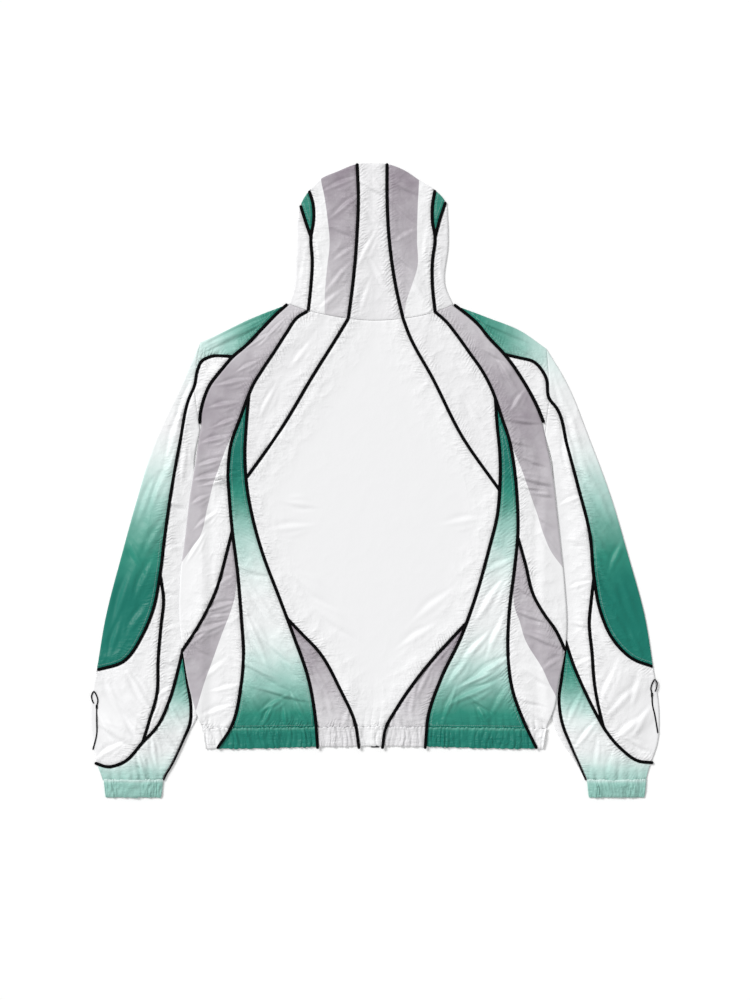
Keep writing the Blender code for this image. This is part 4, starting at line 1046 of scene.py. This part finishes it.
def body_side(side, tag):
    yoke, outer = line(side, "yoke", "body_edge"), line(side, "back_main", "flank_outer")
    inner, diagonal = line(side, "flank_inner"), line(side, "back_diagonal")
    wedge, wrap = line(side, "back_wedge"), line(side, "side_wrap")
    lower, edge = line(side, "yoke_lower", "sleeve_upper"), line(side, "body_edge")
    foot, top, shoulder = (line(side, name) for name in ("armhole_foot", "armhole_top", "shoulder"))
    sewn_neck, casing = plain(line(side, "neck")), plain(across("hem_top"), "casing")

    cut = cut_panel([sewn_neck], [piped(diagonal, "smooth")], [piped(inner)], [piped(outer, "smooth")])
    cloth(f"back_shoulder_{tag}", cut, body_upper, shaded(FAINT))
    kept = soft_step((yoke[:, 1] - PIPING_FOOT) / PIPING_FADE + 1) * PIPED
    cut = cut_panel([sewn_neck], [piped(outer)], [piped(wrap)], [piped(yoke, "free", kept)])
    band = printed_lavender("back_side", side, side)
    cloth(f"back_side_{tag}", cut, body_upper, band)
    cut = cut_panel([], [piped(inner, "fine")], [casing], [piped(outer, "fine")])
    cloth(f"flank_{tag}", cut, body_upper, all_green("flank"), FINE_STEPS)
    cut = cut_panel([], [piped(wedge)], [casing], [piped(inner)])
    cloth(f"back_wedge_{tag}", cut, body_upper, all_lavender("back_wedge"))
    cut = cut_panel([], [piped(outer)], [casing], [free(edge), piped(wrap)])
    band = printed_lavender("flank_low", side, side)
    cloth(f"flank_low_{tag}", cut, body_upper, band)
    cut = cut_panel([], [piped(yoke), piped(lower)], [plain(top)], [free(shoulder)])
    cloth(f"shoulder_yoke_{tag}", cut, body_upper, yoke_green)
    cut = cut_panel([], [piped(lower)], [plain(foot)], [piped(yoke)])
    cloth(f"shoulder_patch_{tag}", cut, body_upper, plain_white)


def body_middle():
    neck, hem, top = across_from_sides("neck"), across("hem_top"), across("hood_top")
    names = ("back_diagonal", "flank_inner", "back_wedge")
    right, left = ([piped(line(side, name), "smooth") for name in names] for side in (1, -1))
    cut = cut_panel([plain(neck)], right, [plain(hem, "casing")], left[::-1])
    cloth("back_centre", cut, body_upper, plain_white, (WIDE_ALONG, WIDE_ACROSS))
    crowns = [[piped(line(side, "hood_crown"))] for side in (-1, 1)]
    cut = cut_panel([free(top)], crowns[0], [plain(neck)], crowns[1])
    cloth("hood_centre", cut, body_upper, shaded(HOOD_FAINT))


def inner_sleeve_cut(side):
    """The inner panel runs down between the forearm's seams, with a narrow strip of it beside the wedge.
    Its surface is in two patches, which share a line across at the head of the wedge."""
    upper, fore = line(side, "yoke_lower", "sleeve_upper"), line(side, "forearm")
    lower, inner = line(side, "sleeve_lower"), line(side, "sleeve_inner")
    tip = lower[0] + (0, PIPED)
    round_tip = np.array([tip - (side * 6, 0), tip + (side * 6, 0)])
    sides = [plain(line(side, "armhole_foot")), piped(upper), piped(fore), piped(lower)]
    sides += [free(round_tip, "inner"), piped(inner), free(line(side, "underarm"))]
    chains = cut_edges(sides)
    start, _, _, _, head, strip, under = chains
    split = np.abs(under[:, 1] - head[-1, 1]).argmin()
    shared = np.linspace(head[-1], under[split], 9)
    left = np.vstack([chains[3], head, shared, under[split:]])
    right = np.vstack([chains[1], chains[2]])
    foot, end = right[-1:].repeat(2, axis=0), strip[-1:].repeat(2, axis=0)
    main = (start, right, foot, left[::-1])
    narrow = (shared[::-1], strip, end, under[: split + 1][::-1])
    return [(chain, row[2]) for chain, row in zip(chains, sides)], [main, narrow]


def sleeve(side, tag):
    upper, fore = line(side, "yoke_lower", "sleeve_upper"), line(side, "forearm")
    low_seam, inner = piped(line(side, "sleeve_lower")), line(side, "sleeve_inner")
    rim, under = free(line(side, "sleeve_edge")), free(line(side, "underarm"))
    cuff_seam = np.array([(side * x, CUFF_TOP) for x in CUFF_SEAM])
    cut = cut_panel([plain(line(side, "armhole_top"))], [rim], [], [piped(upper)])
    cloth(f"sleeve_outer_{tag}", cut, sleeve_top, all_green("sleeve"))
    cut = inner_sleeve_cut(side)
    cloth(f"sleeve_inner_{tag}", cut, sleeve_top, plain_white)
    cut = cut_panel([piped(upper)], [rim], [low_seam], [piped(fore)])
    cloth(f"sleeve_forearm_{tag}", cut, sleeve_top, plain_white)
    cut = cut_panel([], [low_seam, rim], [plain(cuff_seam, "cuffed")], [piped(inner)])
    cloth(f"sleeve_wedge_{tag}", cut, sleeve_top, all_green("wedge"), FINE_STEPS)
    armhole = line(side, "armhole_top", "armhole_foot")
    cut = cut_panel([plain(armhole)], [rim], [plain(cuff_seam)], [under])
    hidden(f"sleeve_under_{tag}", cut, flat_lower)


def hidden(node, cut, height):
    """A panel of the lower layer, plain and white, which rests on the ground."""
    cloth(node, cut, height, plain_white, (HIDDEN_STEP, HIDDEN_STEP), facing=-1)


def fronts(side, tag):
    beside_zip = free(np.array([(side * ZIP_HALF, y) for y in ZIP_SEAM]), "plain")
    seam, foot, edge = plain(across("hem_top")), free(across("hem_end")), free(line(side, "body_edge"))
    armhole, shoulder = line(side, "armhole_top", "armhole_foot"), line(side, "shoulder")
    outer = [edge, plain(armhole), free(shoulder)]
    cut = cut_panel([plain(line(side, "neck"))], [beside_zip], [seam], outer)
    hidden(f"front_{tag}", cut, body_lower)
    cut = cut_panel([seam], [beside_zip], [foot], [edge])
    hidden(f"hem_front_{tag}", cut, body_lower)


def hood_front():
    """The underside of the hood, round the face opening."""
    half, top = FACE_OPENING
    face = [(-half, 600), (-half, 700), (-half * 0.85, top - 40), (-half * 0.45, top - 9), (0, top)]
    opening = smooth_line(face + [(-x, y) for x, y in face[-2::-1]])
    necks = [[plain(line(side, "neck"))] for side in (-1, 1)]
    cut = cut_panel(necks[0], [free(across_from_sides("hood_edge"))], necks[1], [free(opening, "plain")])
    hidden("hood_front", cut, flat_lower)


# Bands, piping and zips.


def gathers(share, count, seed):
    """Gathers along a band: rounded pleats with sharp valleys, warped and of uneven width and height."""
    at = count * share + 0.5 * np.sin(17 * share + seed) + 0.34 * np.sin(41 * share + 2 * seed)
    at = at + 0.2 * np.sin(0.9 * count * share + 3 * seed)
    uneven = 0.62 + 0.26 * np.sin(2.7 * count * share + seed) + 0.2 * np.sin(1.1 * count * share + 2 * seed)
    return np.abs(np.sin(math.pi * at)) ** 0.6 * uneven


def band_marks(points, start):
    """What the material reads of a band: it lies near its seam all over, with its run counted from start."""
    gap = np.full(len(points), BAND_GAP)
    return {"seam_gap": gap, "seam_run": points[:, 0] + start, "clear": np.ones(len(points))}


def hem_back():
    """The gathered casing: a band folded over at the hem, its outside rippled with the elastic, and a frill
    of its own cloth standing over the seam."""
    low, high = across("hem_end"), across("hem_top")
    share = np.linspace(0, 1, HEM_GATHERS * HEM_STATIONS + 1)
    edges = [line(side, "body_edge")[::-1][:EDGE_FOOT, ::-1] for side in SIDES]
    rows = []
    for up, swell, level, frill in HEM_PROFILE:
        at = np.clip(up, 0.0, 1.0) * HEM_HEIGHT
        left, right = (np.interp(at, *edge.T) for edge in edges)
        x = left + (right - left) * share
        lean = gathers(share + 0.0042 * np.sin(4.6 * up + 31 * share) * np.sin(9 * share), HEM_GATHERS, 1.0)
        fade = 0.78 + 0.22 * np.sin(5.5 * up + 187 * share)
        teeth = gathers(share, 1.6 * HEM_GATHERS, 4.0)
        y = np.interp(x, *low.T) * (1 - up) + (np.interp(x, *high.T) - GAP) * up
        y = y + HEM_TEETH * frill * (teeth - 0.5) - HEM_SCALLOP * (up < 0.03) * (swell > 0) * (lean - 0.4)
        base = body_upper(np.column_stack([x, np.clip(y, 1.0, HEM_HEIGHT + 1)]))
        rise = HEM_SWELL * swell * lean * fade + HEM_FRILL * frill * teeth
        rows.append(np.column_stack([x, y, base + WALL * level + rise]))
    grid = np.array(rows)
    points = grid.reshape(-1, 3)[:, :2]
    lavender, green = np.full(len(points), -FAR), np.zeros(len(points))
    for side in SIDES:
        one = points[:, 0] * side > 0
        names = "flank_inner", "flank_outer", "back_wedge"
        inner, outer, wedge = (nearest(points, lengthened(line(side, name)))[1] * side for name in names)
        green[one & (inner > 0) & (outer < 0)] = 0.96
        lavender[one & (wedge > 0) & (inner < 0)] = FAR
    marks = {
        # The frill is paler than the band: a painted highlight along its edge.
        "green": green - 0.26 * np.array(HEM_PROFILE)[:, 3].repeat(len(share)) * (green > 0),
        "lavender": lavender,
        "depth": np.full(len(points), 0.20),
        **band_marks(points, 300),
    }
    piece = made("hem_back_cloth", [grid], NYLON, "hem_back", marks, flip=True)


# The casing's profile from its inner edge round the hem and up to the seam.
# Columns: share of its height, share of the swell, level between the layer below and the top, and frill.
HEM_PROFILE = (
    (0.96, 0.0, 0.10, 0.0), (0.60, 0.0, 0.06, 0.0), (0.30, 0.0, 0.06, 0.0), (0.08, 0.0, 0.10, 0.0),
    (0.0, 0.15, 0.35, 0.0), (-0.02, 0.35, 0.65, 0.0), (-0.01, 0.6, 0.9, 0.0), (0.03, 0.8, 1.0, 0.0),
    (0.09, 0.95, 1.0, 0.0), (0.17, 1.0, 1.0, 0.0), (0.27, 1.0, 1.0, 0.0), (0.38, 0.9, 1.0, 0.0),
    (0.49, 0.95, 1.0, 0.0), (0.60, 1.0, 1.0, 0.0), (0.70, 0.95, 1.0, 0.0), (0.78, 0.8, 1.0, 0.1),
    (0.84, 0.6, 1.0, 0.3), (0.885, 0.55, 0.95, 0.6), (0.93, 0.5, 1.0, 0.9), (0.975, 0.45, 1.0, 1.0),
    (1.015, 0.4, 0.9, 1.0), (1.03, 0.3, 0.5, 0.9), (1.0, 0.2, 0.2, 0.6),
)
BAND_GAP = 7.0
EDGE_FOOT = 60  # points of the body's edge, from its foot, that reach past the casing
HEM_STATIONS, CUFF_STATIONS = 10, 26  # points for each gather
HEM_SWELL, HEM_FRILL, HEM_FULLNESS = 3.2, 1.7, 1.38
HEM_TEETH, HEM_SCALLOP = 2.4, 1.6


def cuff(side, tag):
    """An elastic cuff: a flat tube gathered on top and folded in at its end, with a frill over its seam.
    Each row is a ring, round in the way of a flat tube: straight across, with short round sides."""
    turn = np.linspace(0, 2 * math.pi, CUFF_GATHERS * CUFF_STATIONS, endpoint=False)
    rows = []
    for y, swell, inset, crown, frill in CUFF_PROFILE:
        near, far = CUFF_SPAN[0] + inset, CUFF_SPAN[1] - inset
        middle, half, high = (near + far) / 2, (far - near) / 2, CUFF_HEIGHT - 0.7 * inset
        x = middle + half * np.sign(np.cos(turn)) * np.abs(np.cos(turn)) ** 0.45
        z = CUFF_HEIGHT / 2 + high / 2 * np.sign(np.sin(turn)) * np.abs(np.sin(turn)) ** 0.45
        share = (x - near) / (far - near)
        top = np.clip(np.sin(turn), 0, 1) ** 0.5
        wander = share + 0.035 * np.sin(y / 6 + 9 * share + side) * np.sin(math.pi * share)
        lean = gathers(wander, CUFF_GATHERS, 2.0 + side) * (0.75 + 0.25 * np.sin(y / 4 + 61 * share))
        cross = 0.5 * np.sin(y * 0.55 + 40 * share) * np.sin(23 * share) * swell
        arch = crown * (1 - (2 * share - 1) ** 2)
        teeth = gathers(share, 1.7 * CUFF_GATHERS, 4.0) - 0.4
        z = z + top * (swell * CUFF_SWELL * lean + cross + arch + 0.8 * frill * teeth)
        down = CUFF_TEETH * frill * teeth - CUFF_SCALLOP * (y < 1.0 + CUFF_END) * (lean - 0.4)
        rows.append(np.column_stack([side * x, y + top * down, z]))
    grid = np.array(rows)
    count = grid.shape[0] * grid.shape[1]
    marks = {
        # The frill is paler than the cuff: a painted highlight along its edge.
        "green": np.full(count, 0.44) - 0.2 * np.array(CUFF_PROFILE)[:, 4].repeat(len(turn)),
        "lavender": np.full(count, -FAR),
        "depth": np.zeros(count),
        **band_marks(grid.reshape(-1, 3), 500),
    }
    node = f"cuff_{tag}"
    piece = made(f"{node}_cloth", [grid], NYLON, node, marks, wrap=True, flip=side > 0)


# The cuff's profile from its seam to its end and back inside.
# Columns: height above the hem, share of the swell, how far it is drawn in, arch of its top, and frill.
CUFF_PROFILE = (
    (CUFF_TOP + 0.4, 0.2, 1.4, 1.2, 0.7), (CUFF_TOP + 1.6, 0.4, 0.0, 2.2, 1.0),
    (-48.2, 0.5, 0.1, 2.5, 1.0), (-50.0, 0.55, 0.3, 2.4, 0.6), (-51.8, 0.6, 0.6, 2.2, 0.2),
    (-53.6, 0.85, 0.9, 2.1, 0.0), (-55.8, 1.0, 1.1, 2.0, 0.0), (-58.5, 1.0, 1.4, 1.9, 0.0),
    (-61.5, 1.0, 1.7, 1.8, 0.0), (-64.5, 1.0, 2.0, 1.6, 0.0), (-67.5, 1.0, 2.3, 1.4, 0.0),
    (-70.2, 0.9, 2.6, 1.2, 0.0), (-72.4, 0.75, 3.0, 0.9, 0.0), (-73.7, 0.5, 3.3, 0.5, 0.0),
    (CUFF_END, 0.2, 3.6, 0.1, 0.0), (-73.2, 0.0, 3.9, 0.0, 0.0), (-70.0, 0.0, 4.0, 0.0, 0.0),
    (-62.0, 0.0, 4.0, 0.0, 0.0),
)
CUFF_SWELL, CUFF_FULLNESS = 4.0, 1.36
CUFF_TEETH, CUFF_SCALLOP = 2.0, 1.6


def tube(curve, z, half_width, half_height, ring=12):
    """A cord along a line: an ellipse a little squared, carried along it, its ends closed by rings that
    shrink as a quarter circle does. Returns the grid and each point's run along the line."""
    run = run_of(curve)
    half_width = np.broadcast_to(half_width, run.shape)
    ends = np.minimum(run, run[-1] - run) / half_width
    shrink = np.sqrt(np.clip(1 - (1 - np.clip(ends, 0, 1)) ** 2, 0, 1))[:, None]
    half_width = half_width[:, None]
    turn = np.linspace(0, 2 * math.pi, ring, endpoint=False)[None]
    out = half_width * shrink * np.sign(np.cos(turn)) * np.abs(np.cos(turn)) ** 0.8
    up = half_height * shrink * np.sign(np.sin(turn)) * np.abs(np.sin(turn)) ** 0.9
    sideways = normals(curve)
    x = curve[:, :1] + sideways[:, :1] * out
    y = curve[:, 1:] + sideways[:, 1:] * out
    return np.stack([x, y, z[:, None] + up], axis=-1), np.broadcast_to(run[:, None], out.shape)


def shortened(curve, start=0.0, end=0.0):
    """A line without its first and last few millimetres, with closer stations at both ends."""
    length = run_of(curve)[-1]
    first, last = start / length, 1 - end / length
    tip = TIP_STEPS / length
    between = np.linspace(first, last, max(6, round(length / PIPING_STEP)))[3:-3]
    return at_share(curve, np.concatenate([first + tip, between, last - tip[::-1]]))


PIPING_STEP = 2.0
PIPING_HIGH, PIPING_HALF = 1.25, 2.3
RUN_ON = 3.0
HEM_CLIMB = 9.0, 7.0  # where the piping begins to climb, above the seam, and over what length
TIP_STEPS = np.array([0, 0.3, 0.8, 1.5])


def cord(curve, height, start=0.0, end=0.0, thinned=0.0):
    """Piping along a seam line. Its crown stands proud of the cloth, but not where the body lies on it.
    A start or end below nothing runs on beyond the line's end."""
    curve = shortened(lengthened(curve, RUN_ON), start + RUN_ON, end + RUN_ON)
    proud = PIPING_PROUD * np.where(height is sleeve_top, press(curve), 1.0)
    crown = height(curve) + WALL + proud
    half = PIPING_HALF - thinned * soft_step(run_of(curve) / run_of(curve)[-1] * 2.2 - 1)
    return tube(curve, crown - PIPING_HIGH, half, PIPING_HIGH)


def piping(node, *cords):
    """One piece of the black trim, from the grids and runs of its cords."""
    grids, runs = zip(*cords)
    marks = {"run": np.concatenate([run.ravel() for run in runs])}
    made(f"{node}_cord", grids, PIPING, node, marks, wrap=True, flip=True, shell=None)


def over_hem(points):
    """Piping climbs from its seam on to the gathered casing and runs over it to the edge."""
    above, length = HEM_CLIMB
    climb = soft_step((HEM_HEIGHT + above - points[:, 1]) / length)
    return body_upper(points) + climb * (HEM_SWELL - GAP)


def pipings(side, tag):
    """Every piped seam of one side, with the branches that leave it."""

    def seam(*names, height=body_upper, **ends):
        return cord(line(side, *names), height, **ends)

    yoke = line(side, "yoke", "body_edge")
    sewn = {
        "hood_crown": [seam("hood_crown", end=-0.6)],
        "hood_side": [seam("hood_side", end=-0.6), seam("hood_gusset")],
        "back_diagonal": [seam("back_diagonal", start=-0.6)],
        "flank_outer": [
            seam("back_main", "flank_outer", height=over_hem, start=-0.6, end=-1.0),
            seam("side_wrap", end=-1.2),
        ],
        "flank_inner": [seam(name, height=over_hem, end=-1.0) for name in ("flank_inner", "back_wedge")],
        "yoke": [cord(yoke[yoke[:, 1] > PIPING_FOOT], body_upper, start=1.4)],
        "sleeve_upper": [
            seam("yoke_lower", "sleeve_upper", height=sleeve_top, end=0.5),
            seam("forearm", height=sleeve_top),
        ],
        "sleeve_lower": [
            seam("sleeve_lower", height=sleeve_top, start=-1.0, end=0.5),
            seam("sleeve_inner", height=sleeve_top, start=-1.0, end=26, thinned=0.9),
        ],
    }
    for name, cords in sewn.items():
        piping(f"{name}_piping_{tag}", *cords)


def sleeve_zip(side, tag):
    """The thin zip near the outer edge of the forearm, its slider, and the loop of cord that pulls it."""
    column = 0 if side < 0 else 2
    rows = [row[column : column + 2] for row in SEAMS["sleeve_zip"]]
    teeth = smooth_line([(side * x, y) for x, y in rows[::-1]], ZIP_PITCH)
    top = np.array(rows[0])
    loop = smooth_line([(side * (top[0] + x), top[1] + y) for x, y in ((0, 0), *PULL_LOOP)], ZIP_PITCH)
    slider = np.linspace(teeth[-1] - (0, SLIDER_REACH[0]), teeth[-1] + (0, SLIDER_REACH[1]), 12)
    parts = []
    for curve, (wide, high, lift) in zip((teeth, slider, loop), ZIP_PARTS):
        parts.append(tube(curve, sleeve_top(curve) + WALL + lift + GAP, wide, high))
    piping(f"sleeve_zip_{tag}", *parts)


ZIP_PITCH = 1.2
SLIDER_REACH = 5.5, 1.5  # below and above the upper end of the teeth
# The sleeve zip's teeth, slider and loop. Columns: half width, half height, and lift off the cloth.
ZIP_PARTS = (1.1, 0.55, 0.1), (1.6, 0.8, 0.5), (0.95, 0.75, 0.5)


# The ground, the light and the camera.

FLOOR_HALF = 3.0
VIEW_HEIGHT = 1.5  # of the ground that the photo's frame takes in, from top to bottom
LENS, SENSOR = 85.0, 36.0
PIXEL = 1.5
FRAME_MIDDLE = 0.0, (748 - 500) * PIXEL  # the photo's middle, on the table: the hem is at its row 748
AMBIENT = 0.565
SUN_PLACE, SUN_STRENGTH, SUN_ANGLE = (-1.4, 1.25, 1.6), 2.25, 0.35


def floor():
    """A plain pale ground, a little below nothing: its top is the plane that the jacket rests on."""
    half = FLOOR_HALF
    mesh = bpy.data.meshes.new("floor")
    corners = [(-half, -half, 0), (half, -half, 0), (half, half, 0), (-half, half, 0)]
    mesh.from_pydata(corners, [], [(0, 1, 2, 3)])
    ground = Finish("pale_floor")
    grain = ground.noise(3.0, 3.0)
    shade = ground.blend(colour(253, 253, 253), colour(255, 255, 255), grain)
    mesh.materials.append(ground.surface(Base_Color=shade, Roughness=0.9, Specular_IOR_Level=0.1))
    plane = bpy.data.objects.new("floor", mesh)
    bpy.context.scene.collection.objects.link(plane)


def lamp(name, kind, place, strength, **settings):
    """A light that shines from its place to the jacket."""
    light = bpy.data.lights.new(name, kind)
    light.energy = strength
    for key, value in settings.items():
        setattr(light, key, value)
    lamp_object = bpy.data.objects.new(name, light)
    lamp_object.location = place
    lamp_object.rotation_euler = (-Vector(place)).to_track_quat("-Z", "Y").to_euler()
    bpy.context.scene.collection.objects.link(lamp_object)


def studio():
    world = bpy.data.worlds.new("studio")
    world.use_nodes = True
    light = world.node_tree.nodes["Background"]
    light.inputs["Color"].default_value = (1, 1, 1, 1)
    light.inputs["Strength"].default_value = AMBIENT
    bpy.context.scene.world = world
    lamp("key", "SUN", SUN_PLACE, SUN_STRENGTH, angle=SUN_ANGLE)
    bpy.context.scene.view_settings.view_transform = "Standard"


def camera():
    view = bpy.data.cameras.new("camera")
    view.lens, view.sensor_width = LENS, SENSOR
    x, y = (np.array(FRAME_MIDDLE) - MIDDLE) * MM
    above = bpy.data.objects.new("camera", view)
    above.location = (x, y, VIEW_HEIGHT * LENS / SENSOR)
    bpy.context.scene.collection.objects.link(above)
    bpy.context.scene.camera = above


camera()
studio()
floor()
body_middle()
hood_front()
hem_back()
for number, label in SIDES.items():
    hood(number, label)
    body_side(number, label)
    sleeve(number, label)
    fronts(number, label)
    cuff(number, label)
    sleeve_zip(number, label)
    pipings(number, label)
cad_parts["front_zip"].data.materials.clear()
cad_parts["front_zip"].data.materials.append(ZIP)
